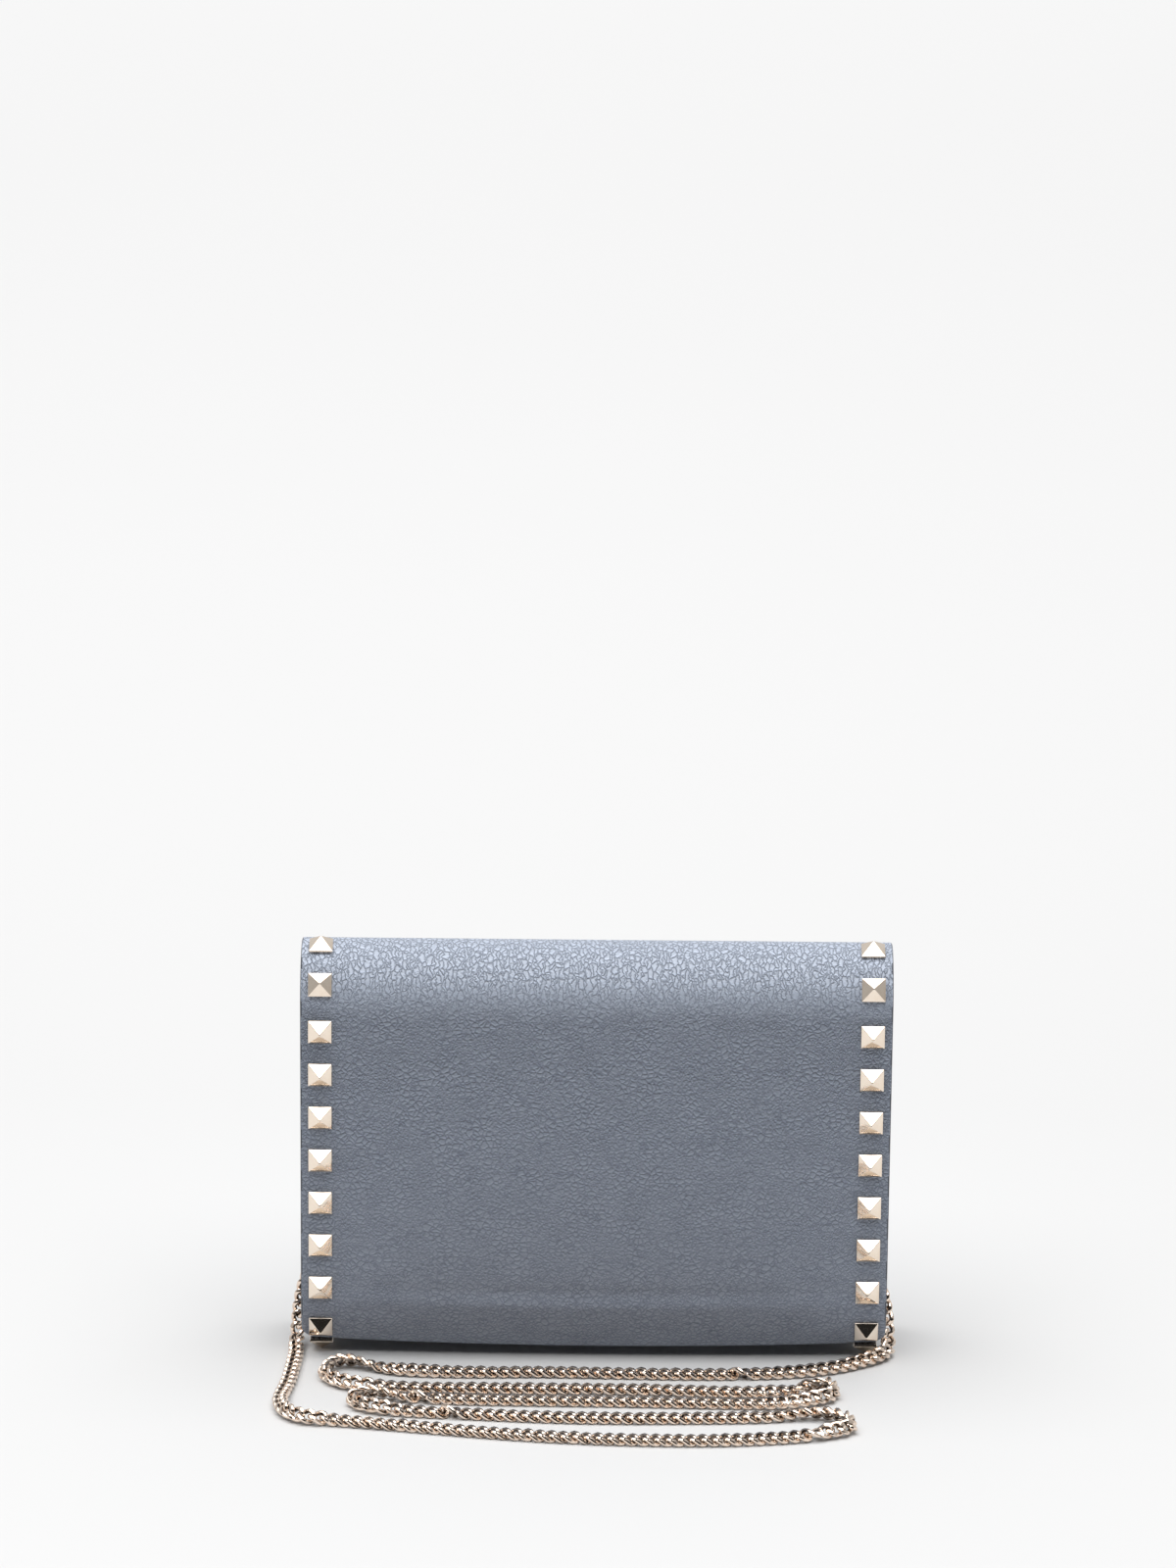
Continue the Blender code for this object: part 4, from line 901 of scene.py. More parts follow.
@dataclass
class Chain:
    """A flat-ground curb chain: two risers and one run laid in loose turns on the floor."""

    pitch: float = 3.9 * MM
    half_length: float = 2.75 * MM
    half_width: float = 1.90 * MM
    twist: float = 1.02 * MM
    wire: float = 0.83 * MM
    ground: float = 1.5 * MM
    cad_floor_z: float = 2.7 * MM
    steps: int = 26
    sides: int = 10
    hardware: dict = field(default_factory=dict)

    def link(self, extra: float = 0.0) -> np.ndarray:
        """The rings of one link: x along the chain, y across it, z its thickness.

        Args:
            extra: Length added to the link, for a connector link.

        Returns:
            Rings of points round the wire.
        """
        t = TAU * np.arange(self.steps) / self.steps
        round_t = t + 0.10 * np.sin(2 * t)
        line = np.stack([
            (self.half_length + extra) * np.cos(round_t),
            self.half_width * np.sin(round_t),
            self.twist * np.sin(2 * round_t)], axis=1)
        _, first, second = frames_along(line, True)
        ring = circle(self.wire, self.sides)
        rings = line[:, None] + ring[None, :, :1] * first[:, None] + ring[None, :, 1:] * second[:, None]
        rings[..., 2] = np.clip(rings[..., 2], -self.ground, self.ground)
        return rings

    def link_shade_of(self, rings: np.ndarray) -> np.ndarray:
        """How much painted shade each point of a link gets: how far it faces into its hole or down, from 0 to 1."""
        centre = rings.mean(axis=1, keepdims=True)
        out = centre * np.array([1.0, 1.4, 0.0])
        out /= np.linalg.norm(out, axis=2, keepdims=True)
        turned = rings - centre
        inward = np.clip(-(turned * out).sum(2) / self.wire, 0, 1)
        under = np.clip(-rings[..., 2] / self.ground - 0.1, 0, 1)
        return np.maximum(inward, under).ravel()

    def route(self) -> tuple[np.ndarray, int, int]:
        """The whole centre line, and the indices where the floor run starts and ends."""
        floor = [(x, y, self.cad_floor_z / MM) for x, y in FLOOR_RUN]
        points = np.array([*RIGHT_RISER, *floor, *LEFT_RISER]) * MM
        line = catmull_rom(points)
        return line, 24 * len(RIGHT_RISER), 24 * (len(RIGHT_RISER) + len(floor) - 1)

    def rolls(self, line: np.ndarray, lengths: np.ndarray) -> np.ndarray:
        """How far the chain rolls onto its edge: at tight turns on the floor."""
        steps = np.diff(line, axis=0)
        heading = np.unwrap(np.arctan2(steps[:, 1], steps[:, 0]))
        mids = (lengths[1:] + lengths[:-1]) / 2
        turn = np.interp(lengths, mids, heading)
        curvature = np.gradient(turn, lengths)
        window = np.exp(-0.5 * (np.arange(-40, 41) / 14.0) ** 2)
        even = np.linspace(0, lengths[-1], int(lengths[-1] / (0.5 * MM)))
        smooth = np.convolve(np.interp(even, lengths, curvature), window / window.sum(), "same")
        bent = np.interp(lengths, even, smooth)
        flat = np.clip((14 * MM - line[:, 2]) / (10 * MM), 0, 1)
        return np.radians(78) * np.tanh(bent / 95.0) * flat

    def build(self) -> None:
        """Makes the three lengths of chain."""
        line, floor_start, floor_end = self.route()
        lengths = np.concatenate([[0], np.cumsum(np.linalg.norm(np.diff(line, axis=0), axis=1))])
        roll = self.rolls(line, lengths)
        height = self.ground * np.abs(np.cos(roll)) + (self.half_width + self.wire) * np.abs(np.sin(roll))
        lying = np.clip((14 * MM - line[:, 2]) / (14 * MM - self.cad_floor_z), 0, 1)
        line = line.copy()
        line[:, 2] = line[:, 2] * (1 - lying) + height * lying
        lengths = np.concatenate([[0], np.cumsum(np.linalg.norm(np.diff(line, axis=0), axis=1))])
        tangents = np.gradient(line, axis=0)
        tangents /= np.linalg.norm(tangents, axis=1, keepdims=True)
        up = np.clip((line[:, 2] - 8 * MM) / (22 * MM), 0, 1)[:, None]
        facing = up * np.array([[0, -1.0, 0]]) + (1 - up) * np.array([[0, 0, 1.0]])
        facing = facing - tangents * (facing * tangents).sum(1, keepdims=True)
        facing /= np.linalg.norm(facing, axis=1, keepdims=True)
        count = int(lengths[-1] / self.pitch)
        rng = np.random.default_rng(7)
        stations = (np.arange(count) + 0.5) * lengths[-1] / count
        ends = (lengths[floor_start], lengths[floor_end])
        odd = self.connector_links(line, lengths, stations)
        shapes = [Shape(), Shape(), Shape()]
        recess_shades = [[], [], []]
        plain = self.link()
        link_shade = self.link_shade_of(plain)
        for index, station in enumerate(stations):
            centre = np.array([np.interp(station, lengths, line[:, k]) for k in range(3)])
            forward = np.array([np.interp(station, lengths, tangents[:, k]) for k in range(3)])
            forward /= np.linalg.norm(forward)
            normal = np.array([np.interp(station, lengths, facing[:, k]) for k in range(3)])
            normal -= forward * (normal @ forward)
            normal /= np.linalg.norm(normal)
            side = np.cross(normal, forward)
            angle = np.interp(station, lengths, roll) + math.radians(rng.normal(0, 2.2)) + odd.get(index, 0.0)
            across = side * math.cos(angle) + normal * math.sin(angle)
            raised = normal * math.cos(angle) - side * math.sin(angle)
            basis = np.stack([forward, across, raised])
            placed = plain @ basis + centre
            part = 0 if station < ends[0] else (1 if station < ends[1] else 2)
            if part == 1 or placed[..., 2].min() < 0:
                placed[..., 2] -= min(0.0, placed[..., 2].min() - 0.02 * MM)
            shapes[part].add_rings(placed, along=True)
            recess_shades[part].append(link_shade)
        rows = (
            ("chain_right_riser_links", slice(0, floor_start + 1), "chain_riser_right", Side.RIGHT),
            ("chain_floor_links", slice(floor_start, floor_end + 1), "chain_floor_run", None),
            ("chain_left_riser_links", slice(floor_end, len(line)), "chain_riser_left", Side.LEFT),
        )
        for shape, recess_shade, (name, part, node, side) in zip(shapes, recess_shades, rows):
            made = shape.build(name, Finishes.CHAIN, 35)
            # Painted shade for the links' insides and undersides, read by the chain plating.
            layer = made.data.attributes.new("recess_shade", "FLOAT", "POINT")
            layer.data.foreach_set("value", np.concatenate(recess_shade).astype(np.float32))
            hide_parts(node)
            if side is None:
                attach(made, Body.ROOT.value)
            else:
                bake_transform(made)

    def connector_links(self, line: np.ndarray, lengths: np.ndarray, stations: np.ndarray) -> dict[int, float]:
        """Links turned on their edge where the chain's lengths are joined, as extra roll by link number."""
        places = [(51.0, -31.0, 0.6), (74.0, -44.5, -0.5), (-60.0, -55.0, 0.6), (-47.0, -69.0, -0.6), (75.0, -86.0, 0.6)]
        found = {}
        for x, y, angle in places:
            near = np.argmin(np.hypot(line[:, 0] - x * MM, line[:, 1] - y * MM))
            index = int(np.argmin(np.abs(stations - lengths[near])))
            found[index] = angle
        return found


# ---------------------------------------------------------------- flap and shell


@dataclass
class FlapShell:
    """The flap in one piece of leather: over the top, down the front and curled under at its edge."""

    straight: float = 102.0 * MM
    curl_radius: float = 34.0 * MM
    curl_deg: float = 32.0
    corner: float = 5.0 * MM
    bulge: float = 2.0 * MM
    sag: float = 1.6 * MM
    columns: int = 200
    rows: int = 260

    @property
    def arc_length(self) -> float:
        """Length of the leather over the top bend."""
        return math.pi * TOP_RADIUS

    @property
    def length(self) -> float:
        """Length of the flap from the hinge to its edge."""
        return self.arc_length + self.straight + self.curl_radius * math.radians(self.curl_deg)

    def section(self, s: float) -> tuple[float, float, float, float]:
        """The outer face's y and z and its outward normal at a distance from the hinge."""
        if s < self.arc_length:
            a = s / TOP_RADIUS
            return (TOP_Y + TOP_RADIUS * math.cos(a), HINGE_Z + TOP_RADIUS * math.sin(a), math.cos(a), math.sin(a))
        s -= self.arc_length
        if s < self.straight:
            return (FRONT_FACE_Y, HINGE_Z - s, -1.0, 0.0)
        a = (s - self.straight) / self.curl_radius
        y = FRONT_FACE_Y + self.curl_radius * (1 - math.cos(a))
        z = HINGE_Z - self.straight - self.curl_radius * math.sin(a)
        return (y, z, -math.cos(a), -math.sin(a))

    def stud_distances(self) -> list[float]:
        """How far each stud of a row is from the hinge, top stud first."""
        first_face = self.arc_length + 7.3 * MM
        top = [first_face - 16.3 * MM * k for k in (2, 1)]
        return top + [first_face + STUD_PITCH * k for k in range(8)]

    def swell(self, x: np.ndarray, s: np.ndarray) -> np.ndarray:
        """How far the outer face stands off its plain section."""
        front = np.clip((s - self.arc_length * 0.8) / (self.length - self.arc_length * 0.8), 0, 1)
        across = np.clip(1 - (x / HALF_WIDTH) ** 2, 0, 1)
        puffed = self.bulge * across * np.sin(math.pi * np.clip(front * 0.86, 0, 1)) ** 0.9
        dimples = np.zeros_like(x)
        for stud in self.stud_distances():
            for sign in (-1, 1):
                dx = np.maximum(np.abs(x - sign * STUD_X) - 4.0 * MM, 0)
                ds = np.maximum(np.abs(s - stud) - 4.0 * MM, 0)
                dimples -= 0.42 * MM * np.exp(-((dx**2 + ds**2) / (2.6 * MM) ** 2))
                ripple = np.exp(-(((s - stud - 7.0 * MM) / (1.3 * MM)) ** 2) - ((x - sign * STUD_X) / (7 * MM)) ** 2)
                dimples -= 0.16 * MM * ripple
        crease = -0.35 * MM * np.exp(-(((s - self.arc_length - self.straight + 3 * MM) / (2.4 * MM)) ** 2)) * across
        roll = 0.45 * MM * np.exp(-(((s - self.arc_length - self.straight - 2 * MM) / (2.6 * MM)) ** 2)) * across
        return puffed + dimples + crease + roll

    def surface(self, x: np.ndarray, s: float, depth: np.ndarray) -> np.ndarray:
        """Points at a distance along the flap and a depth below its outer face."""
        y, z, ny, nz = self.section(s)
        off = self.swell(x, np.full_like(x, s)) - depth
        lowered = min(1.0, max(0.0, (s - self.arc_length) / self.straight)) ** 3
        drop = lowered * self.sag * np.clip(1 - (x / HALF_WIDTH) ** 2, 0, 1)
        return np.stack([x, y + ny * off, z + nz * off - drop], axis=1)

    def strip(self, thickness: float, half_width: float, start: float, end: float, lift: float, corner: float,
              columns: int, rows: int, name: str, finish: Finish) -> bpy.types.Object:
        """Makes a rounded sheet that follows the flap.

        Args:
            thickness: Its thickness.
            half_width: Half its width.
            start: Where it starts, from the hinge.
            end: Where it ends.
            lift: Depth of its outer face below the flap's outer face.
            corner: Radius of its lower corners.
            columns: Points across.
            rows: Points along.
            name: The object's name.
            finish: Its finish.

        Returns:
            The object.
        """
        half = thickness / 2
        inner = np.linspace(start + half, end - max(corner, half), rows)
        last = end - corner + corner * np.sin(np.linspace(0, math.pi / 2, 14)[1:])
        distances = list(start + half * (1 - np.cos(np.linspace(0, math.pi / 2, 5)[:-1]))) + list(inner) + list(last)
        rings, grain = [], []
        for s in distances:
            into = max(0.0, s - (end - corner))
            width = half_width - corner + math.sqrt(max(0.0, corner**2 - into**2))
            near = min(s - start, end - s)
            thin = math.sqrt(max(0.0, 1 - max(0.0, 1 - near / half) ** 2)) if near < half else 1.0
            h = max(half * thin, 0.01 * MM)
            flat = np.linspace(-1, 1, columns)
            flat = np.sign(flat) * (1 - (1 - np.abs(flat)) ** 1.0) * (width - h)
            a = np.linspace(-math.pi / 2, math.pi / 2, 9)[1:-1]
            right_x, right_d = (width - h) + h * np.cos(a), half + h * np.sin(a)
            xs = np.concatenate([flat, right_x, flat[::-1], -right_x[::-1]])
            ds = np.concatenate([np.full(columns, half - h), right_d, np.full(columns, half + h), right_d[::-1]])
            rings.append(self.surface(xs, float(s), lift + ds))
            grain.append(np.stack([xs, np.full_like(xs, s)], axis=1))
        shape = Shape()
        shape.add_rings(np.array(rings), grain=np.array(grain))
        return shape.build(name, finish)

    def add_zones(self, obj: bpy.types.Object) -> None:
        """Marks where the grain is drawn out by the bend and its colour gets the lighter stretched finish and painted
        sheen, and where it lies calm.
        """
        mesh = obj.data
        grain = {}
        for loop, uv in zip(mesh.loops, mesh.uv_layers["grain"].data):
            grain[loop.vertex_index] = uv.uv[1] * GRAIN_UNIT
        bend = mesh.attributes.new("bend", "FLOAT", "POINT")
        calm = mesh.attributes.new("calm", "FLOAT", "POINT")
        s = np.array([grain.get(i, 0.0) for i in range(len(mesh.vertices))])
        # The bend zone drives both the drawn-out grain and the lighter stretched finish with its painted sheen.
        drawn = np.clip((s - 6 * MM) / (10 * MM), 0, 1) * np.clip((self.arc_length + 3 * MM - s) / (14 * MM), 0, 1)
        low = np.clip((s - self.arc_length - 18 * MM) / (70 * MM), 0, 1)
        bend.data.foreach_set("value", drawn.astype(np.float32))
        calm.data.foreach_set("value", low.astype(np.float32))

    def build(self) -> None:
        """Makes the flap, its lining and its painted edges."""
        flap = self.strip(LEATHER, HALF_WIDTH, 0.15 * MM, self.length, 0.0, self.corner, self.columns, self.rows,
                          "flap_leather", Finishes.SHELL)
        self.add_zones(flap)
        self.paint_edges(flap)
        place_on(flap, Body.FLAP, ["flap_panel"])
        lining = self.strip(0.8 * MM, 98.5 * MM, 1.2 * MM, self.arc_length + self.straight + self.curl_radius * math.radians(26.0),
                            LEATHER + 0.25 * MM, 4.0 * MM, 60, 90, "flap_lining_cloth", Finishes.LINING)
        place_on(lining, Body.FLAP, ["flap_lining"])
        LOG.info("flap ready")

    def paint_edges(self, flap: bpy.types.Object) -> None:
        """Gives the cut edge its paint: the faces that look along x, and those round the lower edge."""
        mesh = flap.data
        mesh.materials.append(Finishes.EDGE.material())
        for face in mesh.polygons:
            centre = face.center
            side = abs(face.normal.x) > 0.5 and abs(centre.x) > HALF_WIDTH - 7 * MM
            lower = centre.z < 8.5 * MM and (face.normal.z < -0.86 or face.normal.y > -0.2) and abs(face.normal.x) < 0.9
            if side or (lower and face.normal.y > -0.45 and face.normal.z < -0.5):
                face.material_index = 1


@dataclass
class Studs:
    """Pyramid studs along both edges, and four of them as feet."""

    side: float = 8.0 * MM
    rim: float = 0.45 * MM
    height: float = 3.8 * MM
    tip: float = 0.55 * MM
    flap: FlapShell = field(default_factory=FlapShell)

    def mesh(self) -> bpy.types.Mesh:
        """One stud, standing on the plane z = 0, made once."""
        found = bpy.data.meshes.get("stud")
        if found:
            return found
        half = self.side / 2
        soft = 0.12 * MM
        levels = [
            (half - 0.25 * MM, -0.55 * MM), (half - 0.12 * MM, -0.1 * MM), (half, 0.12 * MM), (half, self.rim - soft),
            (half - soft * 0.3, self.rim - soft * 0.3), (half - soft, self.rim + soft * 0.35),
        ]
        top = [(self.tip / 2 + 0.10 * MM, self.height - 0.12 * MM), (self.tip / 2 - 0.06 * MM, self.height - 0.02 * MM), (0.10 * MM, self.height)]
        rings = []
        for reach, z in levels + top:
            bevel = min(0.13 * MM, reach * 0.4)
            ring = rectangle(-reach, reach, -reach, reach, bevel, 3)
            rings.append(on_xy(ring, z))
        shape = Shape()
        shape.add_rings(np.array(rings))
        holder = shape.build("stud", Finishes.STUD, 24)
        mesh = holder.data
        bpy.data.objects.remove(holder)
        return mesh

    def add(self, name: str, matrix: Matrix, body: Body, nodes: Iterable[str] = ()) -> None:
        """Adds one stud."""
        made = bpy.data.objects.new(name, self.mesh())
        bpy.context.scene.collection.objects.link(made)
        made.matrix_world = matrix
        place_on(made, body, nodes)

    def flap_matrix(self, x: float, s: float) -> Matrix:
        """Where a stud stands on the flap."""
        y, z, ny, nz = self.flap.section(s)
        point = self.flap.surface(np.array([x]), s, np.array([0.0]))[0]
        normal = Vector((0, ny, nz))
        base = Vector(point) + normal * 0.42 * MM
        across = Vector((1, 0, 0))
        along = normal.cross(across)
        turn = Matrix((across, along, normal)).transposed().to_4x4()
        return Matrix.Translation(base) @ turn

    def build(self) -> None:
        """Adds the flap's studs and the feet."""
        for side in Side:
            x = side.value * STUD_X
            for number, s in enumerate(self.flap.stud_distances(), 1):
                node = f"flap_stud_{side.word}_{number:02d}"
                self.add(f"{node}_plated", self.flap_matrix(x, s), Body.FLAP, [node])
            for end in ("front", "rear"):
                node = f"foot_stud_{end}_{side.word}"
                low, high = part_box(node)
                centre = (low + high) / 2
                flip = Matrix.Rotation(math.pi, 4, "X")
                place = Matrix.Translation(Vector((centre.x, centre.y, self.height)))
                self.add(f"{node}_plated", place @ flip, Body.ROOT, [node])
        LOG.info("studs ready")


# ---------------------------------------------------------------- plates, strips and turned pieces


def plate(name: str, finish: Finish, outline: np.ndarray, low: float, high: float, edge: float,
          place: Callable[[np.ndarray, float], np.ndarray], smooth: bool | float = 32) -> bpy.types.Object:
    """Makes one soft-edged plate.

    Args:
        name: The object's name.
        finish: Its finish.
        outline: Its outline in plane pairs.
        low: Where its thickness starts.
        high: Where it ends.
        edge: The radius of its edges.
        place: Turns plane pairs and a depth into points.
        smooth: As in Shape.build.

    Returns:
        The object.
    """
    shape = Shape()
    add_soft_plate(shape, outline, low, high, edge, place)
    return shape.build(name, finish, smooth)


def paint_rim(obj: bpy.types.Object, along: int) -> None:
    """Gives the faces that look across a panel, and not along the given axis, the edge paint."""
    obj.data.materials.append(Finishes.EDGE.material())
    for face in obj.data.polygons:
        if abs(face.normal[along]) < 0.5:
            face.material_index = 1


def rounded_path(points: Sequence[tuple[float, float]], radius: float, step: float) -> np.ndarray:
    """An open path with rounded corners, in even steps."""
    points = [np.array(p, float) for p in points]
    line = [points[0]]
    for before, corner, after in zip(points, points[1:], points[2:]):
        back, ahead = before - corner, after - corner
        reach = min(radius, np.linalg.norm(back) * 0.45, np.linalg.norm(ahead) * 0.45)
        start = corner + back / np.linalg.norm(back) * reach
        end = corner + ahead / np.linalg.norm(ahead) * reach
        for k in range(9):
            t = k / 8
            line.append((1 - t) ** 2 * start + 2 * t * (1 - t) * corner + t**2 * end)
    line.append(points[-1])
    line = np.array(line)
    lengths = np.concatenate([[0], np.cumsum(np.linalg.norm(np.diff(line, axis=0), axis=1))])
    marks = np.linspace(0, lengths[-1], max(2, int(lengths[-1] / step)))
    return np.stack([np.interp(marks, lengths, line[:, k]) for k in range(2)], axis=1)


def band(path: np.ndarray, thickness: float) -> np.ndarray:
    """The outline of a band of even thickness along an open path."""
    ahead = np.gradient(path, axis=0)
    ahead /= np.linalg.norm(ahead, axis=1, keepdims=True)
    side = np.stack([-ahead[:, 1], ahead[:, 0]], axis=1) * thickness / 2
    return np.concatenate([path + side, (path - side)[::-1]])


def add_turned(shape: Shape, profile: Sequence[tuple[float, float]], x: float, z: float, sides: int = 48) -> None:
    """Adds a piece turned about an axis along y, from pairs of radius and y."""
    rings = []
    for radius, y in profile:
        ring = circle(max(radius, 0.005 * MM), sides)
        rings.append(np.stack([x + ring[:, 0], np.full(sides, y), z + ring[:, 1]], axis=1))
    shape.add_rings(np.array(rings))


def add_flat_wire(shape: Shape, pairs: np.ndarray, in_plane: float | np.ndarray, out: float | np.ndarray,
                  y: float, closed: bool = False, sides: int = 16) -> None:
    """Adds an oval wire along a path in an xz plane.

    Args:
        shape: The shape to add to.
        pairs: The path, as x and z.
        in_plane: Half the wire's width in the plane, once or for each point.
        out: Half its thickness along y, once or for each point.
        y: The plane's y.
        closed: Whether the path joins its own start.
        sides: Points round the wire.
    """
    ahead = (np.roll(pairs, -1, 0) - np.roll(pairs, 1, 0)) if closed else np.gradient(pairs, axis=0)
    ahead = ahead / np.linalg.norm(ahead, axis=1, keepdims=True)
    across = np.stack([-ahead[:, 1], ahead[:, 0]], axis=1)
    a = np.broadcast_to(np.asarray(in_plane, float), (len(pairs),))
    b = np.broadcast_to(np.asarray(out, float), (len(pairs),))
    turn = TAU * np.arange(sides) / sides
    rings = []
    for point, side, wide, deep in zip(pairs, across, a, b):
        flat = point[None] + side[None] * (wide * np.cos(turn))[:, None]
        rings.append(np.stack([flat[:, 0], y + deep * np.sin(turn), flat[:, 1]], axis=1))
    shape.add_rings(np.array(rings), along=closed)


@dataclass
class Stitching:
    """A row of saddle stitches lying on a surface."""

    length: float = 2.5 * MM
    gap: float = 0.9 * MM
    radius: float = 0.26 * MM

    def add(self, shape: Shape, start: Sequence[float], end: Sequence[float], out: Sequence[float]) -> None:
        """Adds the stitches of one straight row.

        Args:
            shape: The shape to add to.
            start: Where the row starts.
            end: Where it ends.
            out: The way the surface faces.
        """
        start, end, out = (np.array(v, float) for v in (start, end, out))
        run = np.linalg.norm(end - start)
        along = (end - start) / run
        count = int(run // (self.length + self.gap))
        for k in range(count):
            middle = start + along * ((k + 0.5) * run / count)
            t = np.linspace(-1, 1, 9)
            line = middle + along * (t * self.length / 2)[:, None] - out * (0.34 * MM * t**4)[:, None] + out * 0.06 * MM
            add_tube(shape, line, self.radius * np.sqrt(np.clip(1.02 - t**6, 0.05, 1)), sides=8)


# ---------------------------------------------------------------- the body


@dataclass
class BodyPanels:
    """The back, base and front panels and the folded gussets."""

    half_width: float = 97.0 * MM
    front_y: float = -8.7 * MM
    base_z: float = 4.1 * MM
    seam_z: float = 8.45 * MM
    front_top: float = 119.0 * MM

    def build(self) -> None:
        """Makes the panels and gussets."""
        seam = 0.15 * MM
        back = plate("back_panel_leather", Finishes.PANEL,
                     rectangle(-HALF_WIDTH, HALF_WIDTH, self.seam_z + seam, HINGE_Z - seam, 0.4 * MM),
                     BACK_Y - LEATHER, BACK_Y, 0.55 * MM, on_xz)
        paint_rim(back, 1)
        place_on(back, Body.ROOT, ["back_panel"])
        front = plate("front_panel_leather", Finishes.PANEL,
                      rectangle(-self.half_width, self.half_width, self.seam_z + seam, self.front_top,
                                [0.4 * MM, 0.4 * MM, 9 * MM, 9 * MM], 12),
                      self.front_y, self.front_y + LEATHER, 0.55 * MM, on_xz)
        paint_rim(front, 1)
        place_on(front, Body.FRONT, ["front_panel"])
        self.add_base()
        for side in Side:
            self.add_gusset(side)
        self.add_seams()
        LOG.info("body ready")

    def add_base(self) -> None:
        """Makes the base panel, turned up at both seams and closed at its ends."""
        low, top = self.base_z, self.seam_z - 0.15 * MM
        inner = low + LEATHER
        f, b = self.front_y, BACK_Y
        corners = [(b, top), (b, low), (f, low), (f, top), (f + LEATHER, top), (f + LEATHER, inner),
                   (b - LEATHER, inner), (b - LEATHER, top)]
        radii = [0.4 * MM, 2.5 * MM, 2.5 * MM, 0.4 * MM, 0.4 * MM, 0.7 * MM, 0.7 * MM, 0.4 * MM]
        shape = Shape()
        add_soft_plate(shape, rounded_outline(corners, radii, 6), -self.half_width, self.half_width, 0.4 * MM, on_yz)
        for side in Side:
            ends = sorted(side.value * (self.half_width - depth) for depth in (0.3 * MM, 1.8 * MM))
            closing = rectangle(f + 1.2 * MM, b - 1.2 * MM, low + 1.2 * MM, top - 0.1 * MM, 0.3 * MM, 3)
            add_soft_plate(shape, closing, *ends, 0.3 * MM, on_yz)
        base = shape.build("base_panel_leather", Finishes.PANEL, 32)
        place_on(base, Body.ROOT, ["base_panel"])

    def add_gusset(self, side: Side) -> None:
        """Makes one gusset."""
        sign = side.value
        rear, fore = BACK_Y - LEATHER - 0.8 * MM, self.front_y + LEATHER + 0.8 * MM
        line = [(96.8 * MM, rear), (93.8 * MM, rear), (84.8 * MM, 13.0 * MM), (84.8 * MM, -1.0 * MM),
                (93.8 * MM, fore), (96.8 * MM, fore)]
        path = rounded_path(line, 2.2 * MM, 0.8 * MM)
        path[:, 0] *= sign
        shape = Shape()
        outline = counter_clockwise(band(path, 1.0 * MM))
        rings = []
        low, high, edge = 8.6 * MM, 118.0 * MM, 0.45 * MM
        for z in np.linspace(low, high - edge, 40):
            rings.append(on_xy(outline, z))
        for k in range(1, 6):
            a = math.pi / 2 * k / 5
            rings.append(on_xy(inset(outline, edge * (1 - math.cos(a))), high - edge * (1 - math.sin(a))))
        shape.add_rings(np.array(rings))
        gusset = shape.build(f"gusset_{side.word}_leather", Finishes.POCKET, 50)
        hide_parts(f"gusset_{side.word}")
        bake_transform(gusset)

    def add_seams(self) -> None:
        """Stitches the base seam on the back and the top edge of the front panel."""
        rows = Stitching()
        back = Shape()
        rows.add(back, (-86 * MM, BACK_Y, 12.2 * MM), (86 * MM, BACK_Y, 12.2 * MM), (0, 1, 0))
        made = back.build("back_seam_thread", Finishes.THREAD)
        place_on(made, Body.ROOT)
        front = Shape()
        rows.add(front, (-86 * MM, self.front_y, self.front_top - 3 * MM),
                 (86 * MM, self.front_y, self.front_top - 3 * MM), (0, -1, 0))
        rows.add(front, (-86 * MM, self.front_y, 12.2 * MM), (86 * MM, self.front_y, 12.2 * MM), (0, -1, 0))
        made = front.build("front_seam_thread", Finishes.THREAD)
        place_on(made, Body.FRONT)


# ---------------------------------------------------------------- the inside


